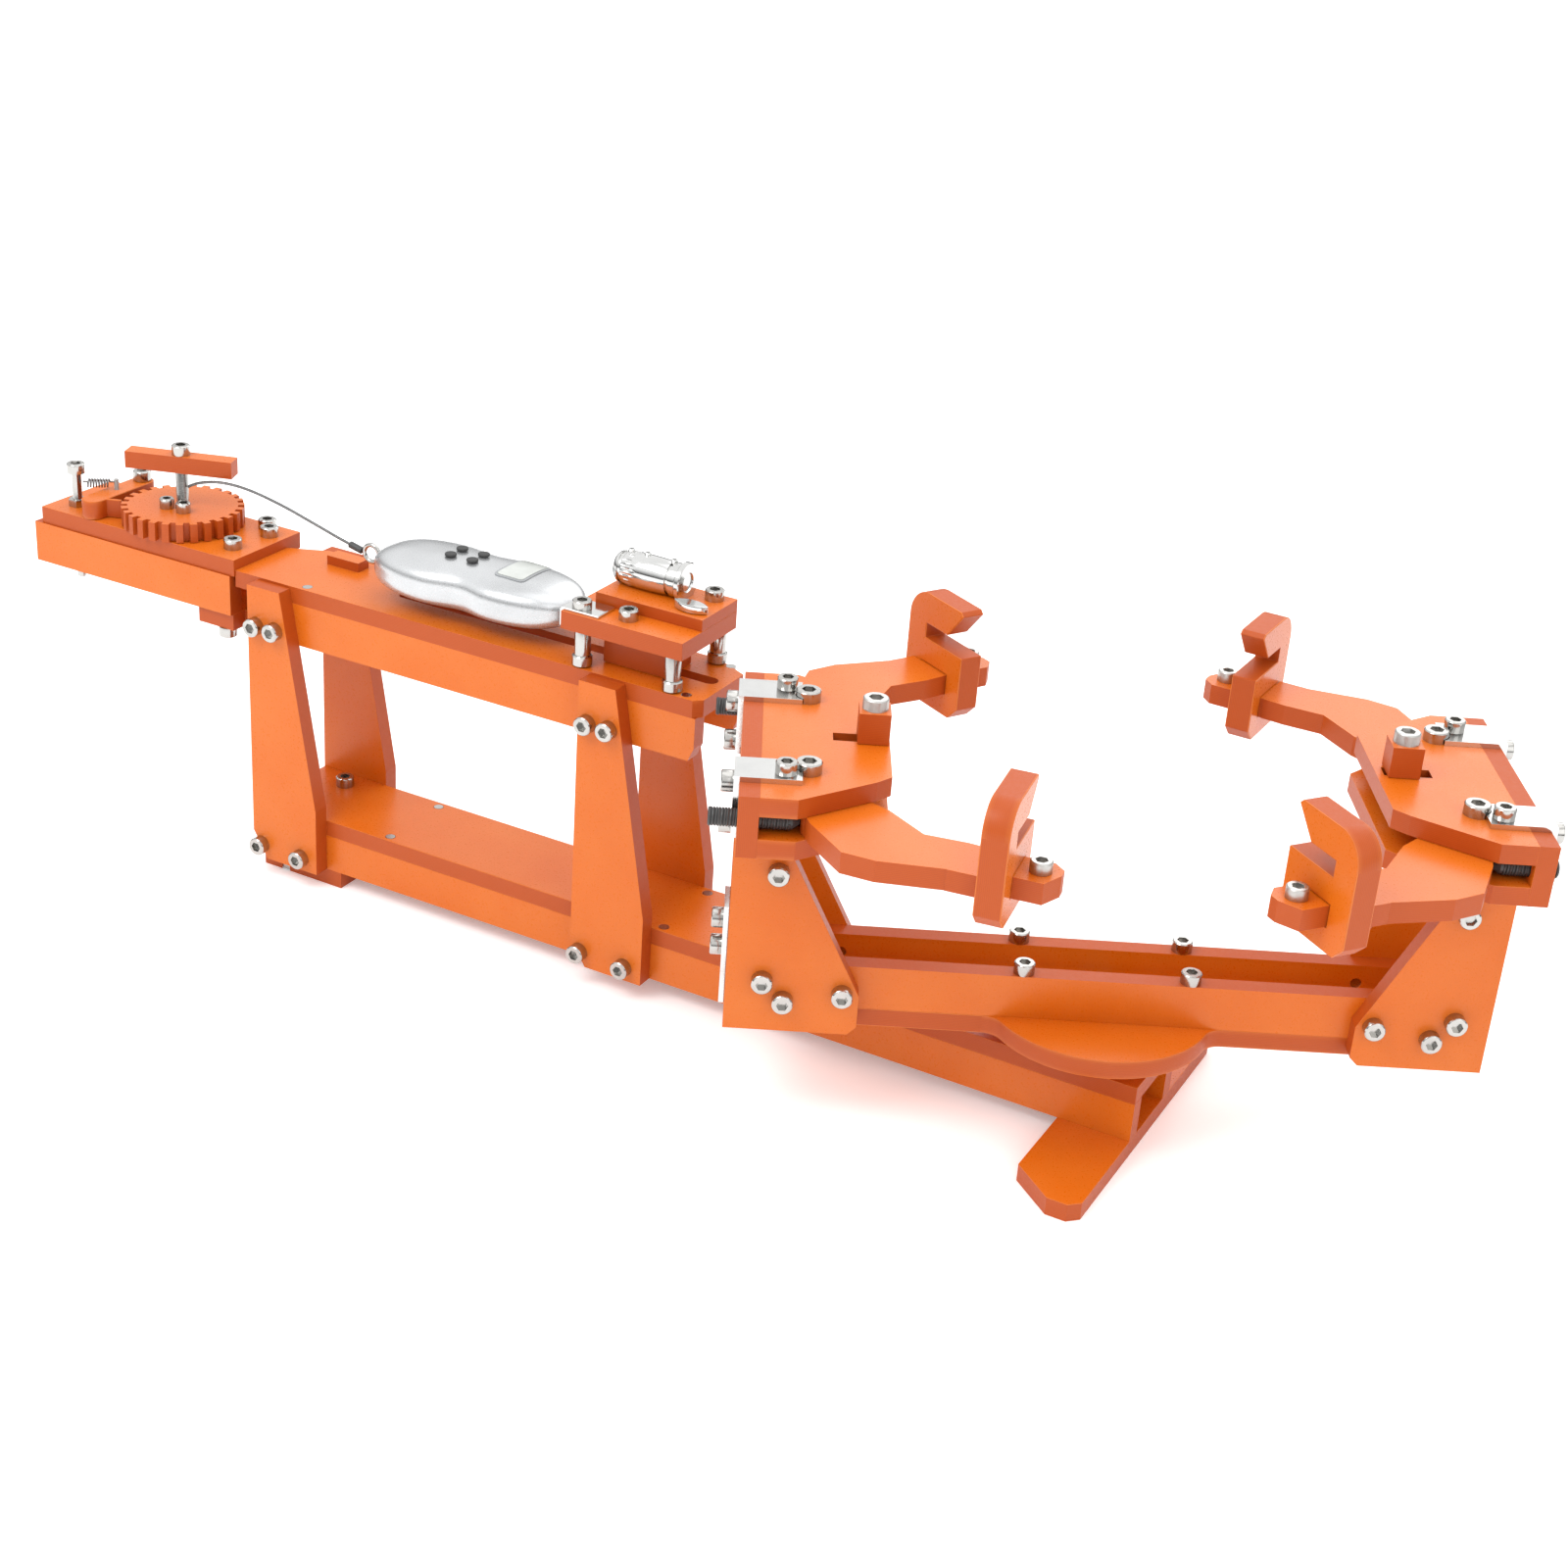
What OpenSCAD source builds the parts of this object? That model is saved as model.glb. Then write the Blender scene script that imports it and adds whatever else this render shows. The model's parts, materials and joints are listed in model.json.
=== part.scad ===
// Racket stringing machine: a tension rail with a hand crank on two pairs of legs,
// and a turntable beam whose towers carry four clamping arms.
// Millimetres. The origin is the turntable's axis on the table. +X runs along the base, +Z is up.

/* [Plate] */
// Thickness of the phenolic plate that everything is cut from
plate_t = 9; // [8:0.5:10]
// Gap between a sliding face and its seat
slide_gap = 0.3; // [0.2:0.05:0.5]
// Radial gap of a shaft in its bore
bore_gap = 0.05; // [0.02:0.01:0.1]

/* [Screws] */
// Diameter of a cap screw's shank
screw_d = 5; // [4:0.5:6]
// Diameter of a cap screw's head
head_d = 9.6; // [8.5:0.1:10]
// Height of a cap screw's head
head_h = 5.4; // [4:0.1:6]
// Radial gap round a shank in a plate
screw_gap = 0.15; // [0.1:0.05:0.3]

/* [Base] */
// Left end of the base, from the turntable's axis
base_left = -466.6; // [-480:0.2:-460]
// Right end of the base
base_right = 32.6; // [30:0.2:40]
// Width of the base and of the tension rail
base_w = 52; // [48:1:60]
// Height of the two rails under the base plate
base_rail_h = 20; // [16:1:26]
// Length of the left foot
left_foot_len = 50.6; // [40:0.2:70]
// Length of the right foot along the base
right_foot_len = 36; // [30:1:50]
// Width of the right foot across the base
right_foot_w = 176; // [150:1:200]

/* [Legs] */
// Bottom width of a leg
leg_bottom_w = 41.5; // [36:0.5:46]
// Top width of a leg
leg_top_w = 20.5; // [18:0.5:26]
// Height over the table where a leg's slanted edge starts
leg_slant_z = 46; // [42:1:60]
// Top of the legs over the table
leg_top_z = 164; // [150:1:165]
// Left edge of the middle pair of legs
mid_leg_x = -266.1; // [-280:0.5:-255]

/* [Tension rail] */
// Left end of the rail's top plate
rail_left = -481.4; // [-485:0.2:-478]
// Right end of the rail's top plate
rail_right = -204.6; // [-212:0.2:-203]
// Top of the rail over the table
rail_top_z = 165.3; // [164:0.1:172]
// Height of the stop block on the rail's top
stop_h = 5; // [3:0.5:5]
// Height of the rail's side plates
rail_side_h = 22.6; // [18:0.2:28]
// Width of the slot along the rail's top plate
rail_slot_w = 8; // [6:0.5:12]
// Left end of that slot
rail_slot_left = -392; // [-420:1:-380]
// Right end of that slot
rail_slot_right = -214; // [-218:1:-212]

/* [Crank head] */
// Left end of the head's side plates
head_left = -616; // [-625:0.5:-610]
// Right end of the head's side plates
head_right = -483.6; // [-488:0.2:-483]
// Outer width of the head
head_w = 56; // [52:0.5:62]
// Bottom of the head's side plates over the table
head_bottom_z = 140; // [136:0.5:144]
// Height of the head's side plates
head_side_h = 22; // [18:0.5:24]

/* [Crank] */
// Distance of the crank's axis from the turntable's axis
crank_x = -537.4; // [-545:0.2:-530]
// Outer radius of the ratchet wheel
wheel_r = 32; // [29:0.5:33]
// Number of teeth on the ratchet wheel
wheel_teeth = 38; // [30:1:44]
// Depth of a ratchet tooth
tooth_depth = 3.2; // [2:0.1:4]
// Thickness of the ratchet wheel
wheel_t = 9.3; // [8:0.1:11]
// Diameter of the winding post
post_d = 6.5; // [6:0.1:8]
// Bottom of the handle over the ratchet wheel's top
handle_rise = 18.7; // [16:0.1:22]
// Length of the handle bar
handle_len = 58; // [50:1:80]
// Width of the handle bar
handle_w = 10; // [9.6:0.1:14]
// Angle of the handle bar from the rail, seen from above
handle_turn = 20; // [0:1:45]

/* [Pawl] */
// Distance of the pawl's pivot from the crank's axis, along the rail
pawl_dx = -42; // [-44:0.2:-40]
// Distance of the pawl's pivot from the rail's middle, to the back
pawl_y = 16; // [12:0.5:18]
// Width of the pawl
pawl_w = 12; // [10:0.5:13]
// Length of the pawl in front of its pivot
pawl_front = 44; // [40:1:48]
// Diameter of the pawl's spring
spring_d = 5; // [4:0.1:6]
// Curls of the pawl's spring
spring_curls = 7; // [4:1:10]

/* [Turntable] */
// Angle of the beam from the rail, seen from above
beam_turn = 28.05; // [0:0.05:90]
// Bottom of the turntable plate over the table
turn_z = 51; // [48:0.5:56]
// Radius of the turntable plate's round middle
disc_r = 52.5; // [46:0.5:60]
// Outer width of the beam's two walls
beam_w = 38.6; // [36:0.2:44]
// Height of the beam's walls
wall_h = 21.5; // [16:0.5:26]
// Diameter of the turntable's pivot
pivot_d = 10; // [8:0.5:14]
// Diameter of the thrust washer under the turntable
washer_d = 44; // [36:1:50]

/* [Towers] */
// Distance of a tower's outer end from the turntable's axis
tower_out = 173; // [168:0.5:180]
// Distance of a tower's inner edge from the axis, at its bottom
tower_in = 112.5; // [105:0.5:120]
// Height of a tower plate
tower_h = 106.5; // [95:0.5:115]
// Height over the tower's bottom where its slanted edge starts
tower_slant_h = 20; // [14:1:30]
// Width of a tower plate at its top
tower_top_w = 17.5; // [14:0.5:24]

/* [Decks] */
// Gap between the two decks, in which the arms turn
deck_gap = 10.5; // [9.8:0.1:12]
// Half width of a deck across the beam
deck_half_w = 66; // [60:0.5:72]
// Distance of a deck's inner end from the turntable's axis
deck_in = 107.5; // [104:0.5:109]
// Width of a polished strap
strap_w = 20; // [16:0.5:22]
// Thickness of a polished strap
strap_t = 2.5; // [1.5:0.1:3]
// Distance of a strap's middle from the beam's middle
strap_y = 42; // [40:0.5:46]

/* [Arms] */
// Distance of an arm's pivot from the turntable's axis, along the beam
arm_pivot_x = 143.3; // [141:0.1:146]
// Distance of an arm's pivot from the beam's middle
arm_pivot_y = 38; // [36:0.5:40]
// Diameter of an arm's pivot bolt
arm_bolt_d = 6; // [5:0.5:7]
// Distance from an arm's pivot to the middle of its hook
arm_reach = 98; // [92:0.5:102]
// Width of the tongue that a hook sits on
tongue_w = 20; // [16:0.5:22]
// Length of the tongue past the hook
tongue_past = 18; // [14:0.5:22]
// Diameter of an adjusting screw
adjust_d = 8.4; // [7:0.1:9]
// Distance of an adjusting screw from the beam's middle
adjust_y = 57; // [55:0.5:59]
// How far the left adjusting screws stand out of their end plate
left_adjust_out = 12; // [3:0.5:16]
// How far the right adjusting screws stand out of their end plate
right_adjust_out = 3; // [3:0.5:16]

/* [Hooks] */
// Thickness of a hook
hook_t = 12; // [10:0.5:13]
// Width of a hook, from its outer edge to the end of its lip
hook_w = 43.7; // [40:0.1:46]
// How far a hook's bottom lies below its arm's underside
hook_drop = 10.8; // [9:0.1:14]
// Height of a hook
hook_h = 55.5; // [50:0.5:60]
// Height of a hook's lip over its bottom
lip_h = 33; // [31:0.5:36]
// Height of the slit between a hook's lip and nose
slit_h = 7.5; // [5:0.5:9]
// Distance from a hook's outer edge to the end of its slit
slit_in = 13; // [11:0.5:16]
// Radius of a hook's outer top corner
hook_r = 14; // [8:0.5:18]

/* [Posts] */
// Width of a centre post
post_w = 14; // [12:0.5:18]
// Height of a centre post over the deck
post_h = 14.5; // [10:0.5:20]
// Distance of the left centre post from the axis
left_post_x = 115; // [114.5:0.5:118]
// Distance of the right centre post from the axis
right_post_x = 119; // [114.5:0.5:122]

/* [Carriage] */
// Left end of the carriage at rest
carriage_left = -283; // [-290:0.5:-276]
// Right end of the carriage at rest
carriage_right = -215.6; // [-220:0.2:-214]
// Height of the carriage plate's bottom over the rail
carriage_rise = 18.2; // [16:0.1:20]
// Thickness of the carriage's upper plate
upper_plate_t = 6; // [5:0.5:8]
// Width of the ledge in front of the upper plate
ledge_w = 18; // [16:0.5:20]
// Diameter of the carriage's steel feet
foot_d = 8; // [6:0.5:10]

/* [Scale] */
// Distance between the carriage and the housing's full length
scale_gap = 5; // [3:0.5:8]
// Length of the scale's housing
scale_len = 120; // [110:1:124]
// Largest width of the scale's housing
scale_w = 50; // [40:1:52]
// Height of the scale's housing
scale_h = 24; // [20:0.5:27]
// Height of the housing's underside over the rail
scale_rise = 5.5; // [3:0.5:8]

/* [Cable] */
// Diameter of the pull cable
cable_d = 1.6; // [1.2:0.1:2]

/* [Hidden] */
$fn = 48;

ORANGE = [0.93, 0.42, 0.12];
STEEL = [0.82, 0.82, 0.84];
BLACK = [0.1, 0.1, 0.11];
SILVER = [0.78, 0.79, 0.81];

half_w = base_w / 2;
foot_top = plate_t;
base_top = foot_top + base_rail_h + plate_t;
rail_plate_z = rail_top_z - plate_t;
rail_side_z = rail_plate_z - rail_side_h;
head_plate_z = head_bottom_z + head_side_h;
head_top_z = head_plate_z + plate_t;
head_half = head_w / 2;
head_inner = head_half - plate_t;
link_z = head_bottom_z - plate_t;
socket_h = head_h * 0.5;
washer_h = turn_z - base_top - slide_gap;
wheel_z = head_top_z + 1;
wheel_top = wheel_z + wheel_t;
handle_z = wheel_top + handle_rise;
wall_z = turn_z + plate_t;
wall_top = wall_z + wall_h;
beam_half = beam_w / 2;
tower_top = turn_z + tower_h;
lower_deck_top = tower_top + plate_t;
upper_deck_z = lower_deck_top + deck_gap;
upper_deck_top = upper_deck_z + plate_t;
arm_t = deck_gap - 2 * slide_gap;
arm_z = lower_deck_top + slide_gap;
hook_bottom_z = arm_z - hook_drop;
adjust_z = lower_deck_top + deck_gap / 2;
end_plate_in = tower_out - plate_t - 0.5;
tongue_turn = 15;
tongue_mid = 23;
chamfer = 5;
carriage_z = rail_top_z + carriage_rise;
carriage_top = carriage_z + plate_t;
upper_top = carriage_top + upper_plate_t;
scale_z = rail_top_z + scale_rise;
scale_left = carriage_left - scale_gap - scale_len;
ferrule_left = scale_left - 19.75;

// The four arms: side along the beam, side across it, and the arm's angle to the beam
ARM_SPOTS = [[-1, -1, 34.5], [1, -1, 40], [-1, 1, 47.5], [1, 1, 45]];

// Screw spots on a leg, from its left edge and the table
LEG_SCREWS = [[5.5, 17], [31.5, 16.5], [5.5, 142.7], [17.6, 142.7]];
// Screw spots on a tower plate, from the turntable's axis and the tower's bottom
TOWER_SCREWS = [[152.5, 80.8], [156.6, 26], [146.8, 16.2], [120.3, 21]];

// A socket head cap screw, its head standing on z = 0 and its shank reaching down
module cap_screw(reach, d = screw_d) {
    wide = head_d * d / screw_d;
    difference() {
        union() {
            cylinder(d = wide, h = head_h - 0.5);
            translate([0, 0, head_h - 0.5])
                cylinder(d1 = wide, d2 = wide - 1, h = 0.5, $fn = 32);
        }
        translate([0, 0, head_h - socket_h])
            cylinder(d = wide * 0.58, h = head_h, $fn = 6);
    }
    translate([0, 0, -reach])
        cylinder(d = d, h = reach);
}

// A cap screw whose head faces along the beam or rail's side: side is -1 for the front
module side_screw(side, reach) {
    rotate([side < 0 ? 90 : -90, 0, 0])
        cap_screw(reach);
}

// A cap screw whose head faces down
module under_screw(reach) {
    rotate([180, 0, 0])
        cap_screw(reach);
}

// A hexagon nut standing on z = 0 round a shank
module nut(d = screw_d) {
    linear_extrude(d * 0.8)
        circle(d = d * 2, $fn = 6);
}

// An outline's points, followed by their mirror images across the x axis
function mirrored(points) =
    concat(points, [for (k = [len(points) - 1:-1:0]) [points[k][0], -points[k][1]]]);

// Everything that turns with the beam is drawn along the beam
module on_beam() {
    rotate(beam_turn)
        children();
}

// A child mirrored to each of the four corners of the beam
module at_four_corners() {
    for (sx = [-1, 1], sy = [-1, 1])
        scale([sx, sy, 1])
            children();
}

// A hole through a lying plate
module hole_z(x, y, z, h, d = screw_d + 2 * screw_gap) {
    translate([x, y, z - 1])
        cylinder(d = d, h = h + 2);
}

// Base

BASE_PLUGS = [[-386.9, -1], [-220.1, -1], [-220.1, 1], [-386.9, 1]];
base_bolt = [base_left + 23.7, 13.3];
rail_mid_y = half_w - plate_t / 2;

module base_plug_spots() {
    for (spot = BASE_PLUGS)
        translate([spot[0], spot[1] * rail_mid_y, 0])
            children();
}

module base_top_plate() {
    color(ORANGE)
        difference() {
            translate([base_left, -half_w, base_top - plate_t])
                cube([base_right - base_left, base_w, plate_t]);
            base_plug_spots()
                hole_z(0, 0, base_top - plate_t, plate_t);
            hole_z(0, 0, base_top - plate_t, plate_t, pivot_d + 2 * screw_gap);
            hole_z(base_bolt[0], base_bolt[1], base_top - plate_t, plate_t);
        }
}

module base_side_rails() {
    color(ORANGE)
        difference() {
            for (side = [-1, 1])
                translate([base_left, side * rail_mid_y - plate_t / 2, foot_top])
                    cube([base_right - base_left, plate_t, base_rail_h]);
            base_plug_spots()
                hole_z(0, 0, base_top - plate_t - 13, 13);
            for (x = [base_left, mid_leg_x], spot = LEG_SCREWS)
                if (spot[1] < leg_slant_z)
                    leg_screw_hole(x + spot[0], spot[1]);
            for (x = [base_left + 14, base_right - 14], side = [-1, 1])
                hole_z(x, side * rail_mid_y, foot_top, 12 - 1);
        }
}

module leg_screw_hole(x, z) {
    translate([x, -base_w, z])
        rotate([-90, 0, 0])
            cylinder(d = screw_d + 2 * screw_gap, h = 2 * base_w);
}

module foot_screw_holes(x) {
    for (side = [-1, 1])
        hole_z(x, side * rail_mid_y, 0, foot_top);
    for (side = [-1, 1])
        translate([x, side * rail_mid_y, -1])
            cylinder(d = head_d + 0.6, h = 1 + head_h + 0.4);
}

module left_foot() {
    color(ORANGE)
        difference() {
            translate([base_left, -half_w, 0])
                cube([left_foot_len, base_w, foot_top]);
            foot_screw_holes(base_left + 14);
        }
}

module right_foot() {
    half = right_foot_w / 2;
    cut = 21;
    color(ORANGE)
        difference() {
            translate([base_right - right_foot_len, 0, 0])
                linear_extrude(foot_top)
                    polygon(mirrored([[right_foot_len, half - chamfer], [right_foot_len - chamfer, half],
                                      [cut, half], [0, half - cut + 4]]));
            foot_screw_holes(base_right - 14);
        }
}

// Legs

module leg_outline() {
    polygon([[9, foot_top], [leg_bottom_w, foot_top], [leg_bottom_w, leg_slant_z],
             [leg_top_w, leg_top_z], [0, leg_top_z], [0, foot_top + 15]]);
}

module leg_pair(x) {
    color(ORANGE)
        difference() {
            for (y = [-half_w, half_w + plate_t])
                translate([x, y, 0])
                    rotate([90, 0, 0])
                        linear_extrude(plate_t)
                            leg_outline();
            for (spot = LEG_SCREWS)
                leg_screw_hole(x + spot[0], spot[1]);
        }
}

module left_legs() {
    leg_pair(base_left);
}

module middle_legs() {
    leg_pair(mid_leg_x);
}

// Tension rail

module rail_top_plate() {
    taper_len = 20;
    taper = 10;
    color(ORANGE)
        difference() {
            translate([0, 0, rail_plate_z])
                linear_extrude(plate_t)
                    difference() {
                        polygon([[rail_left, -half_w], [rail_right - 4, -half_w],
                                 [rail_right, -half_w + 4], [rail_right, half_w - taper],
                                 [rail_right - taper_len, half_w], [rail_left + taper_len, half_w],
                                 [rail_left, half_w - taper]]);
                        hull()
                            for (x = [rail_slot_left, rail_slot_right])
                                translate([x, 0])
                                    circle(d = rail_slot_w);
                    }
            for (x = [rail_left + 43, rail_right - 10], side = [-1, 1])
                hole_z(x, side * rail_mid_y, rail_plate_z, plate_t);
        }
    color(ORANGE)
        translate([rail_left + 31, half_w - taper - 6, rail_top_z])
            cube([20, 9, stop_h]);
}

module rail_side_plates() {
    left = base_left;
    right = rail_right - 2;
    color(ORANGE)
        difference() {
            for (side = [-1, 1])
                translate([0, side * rail_mid_y + plate_t / 2, 0])
                    rotate([90, 0, 0])
                        linear_extrude(plate_t)
                            polygon([[left, rail_side_z], [right - 3, rail_side_z],
                                     [right, rail_side_z + 7], [right, rail_plate_z],
                                     [left, rail_plate_z]]);
            for (x = [base_left, mid_leg_x], spot = LEG_SCREWS)
                if (spot[1] > leg_slant_z)
                    leg_screw_hole(x + spot[0], spot[1]);
            for (x = [rail_left + 43, rail_right - 10], side = [-1, 1])
                hole_z(x, side * rail_mid_y, rail_plate_z - 11, 12);
        }
}

// Crank head

HEAD_SCREWS = [[12, -13], [9, 12.7], [17, 25 - 4]];
spring_spot = [head_left + 18, -14];
pawl_x = crank_x + pawl_dx;
LINK_UNDER = [-24, 24, 36];

module head_top_plate() {
    color(ORANGE)
        difference() {
            translate([head_left + 4.5, -head_half + 1, head_plate_z])
                cube([rail_left - head_left - 4.5, head_w - 2, plate_t]);
            translate([crank_x, 0, head_plate_z - 1])
                cylinder(d = post_d + 2 * bore_gap, h = plate_t + 2);
            hole_z(pawl_x, pawl_y, head_plate_z, plate_t);
            hole_z(spring_spot[0], spring_spot[1], head_plate_z, plate_t);
            for (spot = HEAD_SCREWS)
                hole_z(rail_left - spot[0], spot[1], head_plate_z, plate_t);
        }
}

module head_side_plates() {
    color(ORANGE)
        difference() {
            for (side = [-1, 1])
                translate([head_left, side * (head_half - plate_t / 2) - plate_t / 2, head_bottom_z])
                    cube([head_right - head_left, plate_t, head_side_h]);
            for (spot = HEAD_SCREWS)
                hole_z(rail_left - spot[0], spot[1], head_plate_z - 12, 12);
            for (side = [-1, 1])
                hole_z(base_left + LINK_UNDER[0], side * (head_half - 6), head_bottom_z - 1, 12);
        }
}

// The plate that ties the head to the rail from below
module head_link_plate() {
    narrow = half_w - plate_t - slide_gap;
    color(ORANGE)
        difference() {
            translate([0, 0, link_z])
                linear_extrude(plate_t)
                    polygon([[base_left - 40, -head_half + 2], [head_right, -head_half + 2],
                             [head_right, -narrow], [base_left + 50, -narrow],
                             [base_left + 50, narrow], [head_right, narrow],
                             [head_right, head_half - 2], [base_left - 40, head_half - 2]]);
            for (side = [-1, 1])
                hole_z(base_left + LINK_UNDER[0], side * (head_half - 6), link_z, plate_t);
            for (x = [LINK_UNDER[1], LINK_UNDER[2]])
                hole_z(base_left + x, 0, link_z, plate_t);
        }
}

// Frame screws

module frame_screws() {
    color(STEEL) {
        for (x = [base_left, mid_leg_x], spot = LEG_SCREWS, side = [-1, 1])
            translate([x + spot[0], side * (half_w + plate_t), spot[1]])
                side_screw(side, plate_t + 8);
        base_plug_spots()
            translate([0, 0, base_top - 12])
                cylinder(d = screw_d, h = 12);
        translate([base_bolt[0], base_bolt[1], base_top])
            cap_screw(plate_t + 5);
        for (x = [base_left + 14, base_right - 14], side = [-1, 1])
            translate([x, side * rail_mid_y, head_h + 0.4])
                under_screw(foot_top);
        for (spot = HEAD_SCREWS)
            translate([rail_left - spot[0], spot[1], head_top_z])
                cap_screw(plate_t + 10);
        for (side = [-1, 1])
            translate([base_left + LINK_UNDER[0], side * (head_half - 6), link_z])
                under_screw(plate_t + 9);
        for (x = [LINK_UNDER[1], LINK_UNDER[2]])
            translate([base_left + x, 0, link_z])
                under_screw(plate_t);
        for (x = [rail_left + 43, rail_right - 10], side = [-1, 1])
            translate([x, side * rail_mid_y, rail_top_z - 18])
                cylinder(d = screw_d, h = 18);
        translate([pawl_x, pawl_y, wheel_top + slide_gap])
            cap_screw(wheel_t + 1 + slide_gap + plate_t);
    }
}

// Turntable pivot

module pivot_bearing() {
    color(BLACK)
        translate([0, 0, base_top])
            difference() {
                cylinder(d = washer_d, h = washer_h);
                translate([0, 0, -1])
                    cylinder(d = pivot_d + 2 * bore_gap, h = washer_h + 2);
            }
}

module pivot_bolt() {
    nut_z = base_top - plate_t;
    color(STEEL) {
        translate([0, 0, nut_z - 14])
            cylinder(d = pivot_d, h = wall_z - nut_z + 14 + slide_gap);
        translate([0, 0, wall_z + slide_gap])
            difference() {
                cylinder(d = 16, h = 7);
                translate([0, 0, 3])
                    cylinder(d = 9, h = 5, $fn = 6);
            }
        translate([0, 0, nut_z - 8])
            linear_extrude(8)
                circle(d = 18.5, $fn = 6);
    }
}

// Crank

// The ratchet wheel's outline: square teeth on a round blank
module ratchet_outline() {
    pitch = 360 / wheel_teeth;
    root = wheel_r - tooth_depth;
    rotate(nose_at - pitch / 2)
        polygon([for (tooth = [0:wheel_teeth - 1], corner = [[0.28, wheel_r], [-0.28, wheel_r],
                                                              [-0.26, root], [-0.74, root]])
            corner[1] * [cos((corner[0] - tooth) * pitch), sin((corner[0] - tooth) * pitch)]]);
}

module ratchet_wheel() {
    color(ORANGE)
        translate([crank_x, 0, 0])
            difference() {
                union() {
                    translate([0, 0, wheel_z])
                        linear_extrude(wheel_t)
                            ratchet_outline();
                    translate([0, 0, head_top_z + slide_gap])
                        cylinder(d = 22, h = 1);
                }
                hole_z(0, 0, head_top_z, wheel_t + 2, post_d + 2 * screw_gap);
                for (spot = CLAMP_SCREWS)
                    hole_z(spot[0], spot[1], wheel_top - 7, 8);
            }
}

CLAMP_SCREWS = [[-3, -9], [8, -9]];

module crank_post() {
    color(STEEL)
        translate([crank_x, 0, head_plate_z - 6])
            cylinder(d = post_d, h = handle_z - head_plate_z + 6);
    color(STEEL)
        translate([crank_x, 0, head_plate_z - 6])
            difference() {
                cylinder(d = 14, h = 6 - slide_gap);
                translate([0, 0, -1])
                    cylinder(d = post_d, h = 8);
            }
}

module crank_handle() {
    color(ORANGE)
        translate([crank_x, 0, handle_z])
            rotate(handle_turn)
                difference() {
                    linear_extrude(plate_t)
                        square([handle_len, handle_w], center = true);
                    hole_z(0, 0, 0, plate_t);
                }
}

module crank_screws() {
    color(STEEL)
        translate([crank_x, 0, 0]) {
            for (spot = CLAMP_SCREWS)
                translate([spot[0], spot[1], wheel_top])
                    cap_screw(6, 4);
            translate([0, 0, handle_z + plate_t])
                cap_screw(plate_t);
        }
}

// Pawl and its spring

pawl_z = head_top_z + slide_gap;
pawl_t = wheel_z + wheel_t - head_top_z - slide_gap;
nose_gap = 0.4;
nose_w = 1.5;
// Where on the wheel the nose sits, and the swing from rest that seats it
nose_at = 207.3;
nose_swing = 5.5;
seat_r = wheel_r - tooth_depth + nose_gap;

module pawl() {
    color(ORANGE)
        translate([pawl_x, pawl_y, pawl_z])
            difference() {
                linear_extrude(pawl_t)
                    difference() {
                        union() {
                            circle(d = pawl_w);
                            translate([-pawl_w / 2, -pawl_front + pawl_w / 2])
                                square([pawl_w, pawl_front - pawl_w / 2]);
                            translate([0, -pawl_front + pawl_w / 2])
                                circle(d = pawl_w);
                            rotate(-nose_swing)
                                translate([-pawl_dx, -pawl_y])
                                    rotate(nose_at)
                                        translate([seat_r, -nose_w / 2])
                                            square([13, nose_w]);
                        }
                        circle(d = screw_d + 2 * bore_gap);
                    }
            }
    color(STEEL)
        translate([pawl_x, pawl_y - 20, pawl_z + pawl_t])
            cylinder(d = 2.4, h = 6);
}

spring_z = pawl_z + pawl_t + 3.2;

module spring_post() {
    color(STEEL)
        translate([spring_spot[0], spring_spot[1], 0]) {
            translate([0, 0, spring_z + 5])
                cap_screw(spring_z + 5 - head_bottom_z + 5);
            translate([0, 0, head_top_z])
                nut();
        }
}

// Rings of points along a helix with straight ends, six points to a ring
function spring_ring(centre, along, side) =
    [for (k = [0:5]) centre + 0.5 * (cos(60 * k) * side + sin(60 * k) * cross(along, side))];

function spring_path(t, r, len, curls) =
    [len * t, r * cos(360 * curls * t), r * sin(360 * curls * t)];

module pawl_spring() {
    ends = [[spring_spot[0] + screw_d / 2 + 1.4, spring_spot[1], spring_z],
            [pawl_x - 1.5, pawl_y - 20, spring_z]];
    span = ends[1] - ends[0];
    len = norm(span);
    turn = atan2(span[1], span[0]);
    wire = 0.4;
    r = spring_d / 2 - wire;
    body = len - 5;
    steps = spring_curls * 8;
    straight = [[-2.5, r, 0], [-1.2, r, 0]];
    tail = [[body + 1.2, r, 0], [body + 2.5, r, 0]];
    path = concat(straight, [for (k = [0:steps]) spring_path(k / steps, r, body, spring_curls)], tail);
    last = len(path) - 1;
    heads = [for (k = [0:last]) path[min(k + 1, last)] - path[max(k - 1, 0)]];
    points = [for (k = [0:last]) each sweep_ring(path[k], heads[k], wire, 6)];
    color(STEEL)
        translate(ends[0])
            rotate(turn)
                translate([2.5, 0, 0])
                    swept_tube(points, len(path), 6);
    gap = body / spring_curls - 2 * wire;
    echo(pawl_spring_gap = gap);
}

// A ring of points round a path's point, square to its heading
function sweep_ring(centre, heading, r, sides) =
    let (along = heading / norm(heading),
         flat = abs(along[2]) < 0.9 ? [0, 0, 1] : [1, 0, 0],
         side = cross(flat, along) / norm(cross(flat, along)),
         up = cross(along, side))
    [for (k = [0:sides - 1]) centre + r * (cos(360 * k / sides) * side + sin(360 * k / sides) * up)];

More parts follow.
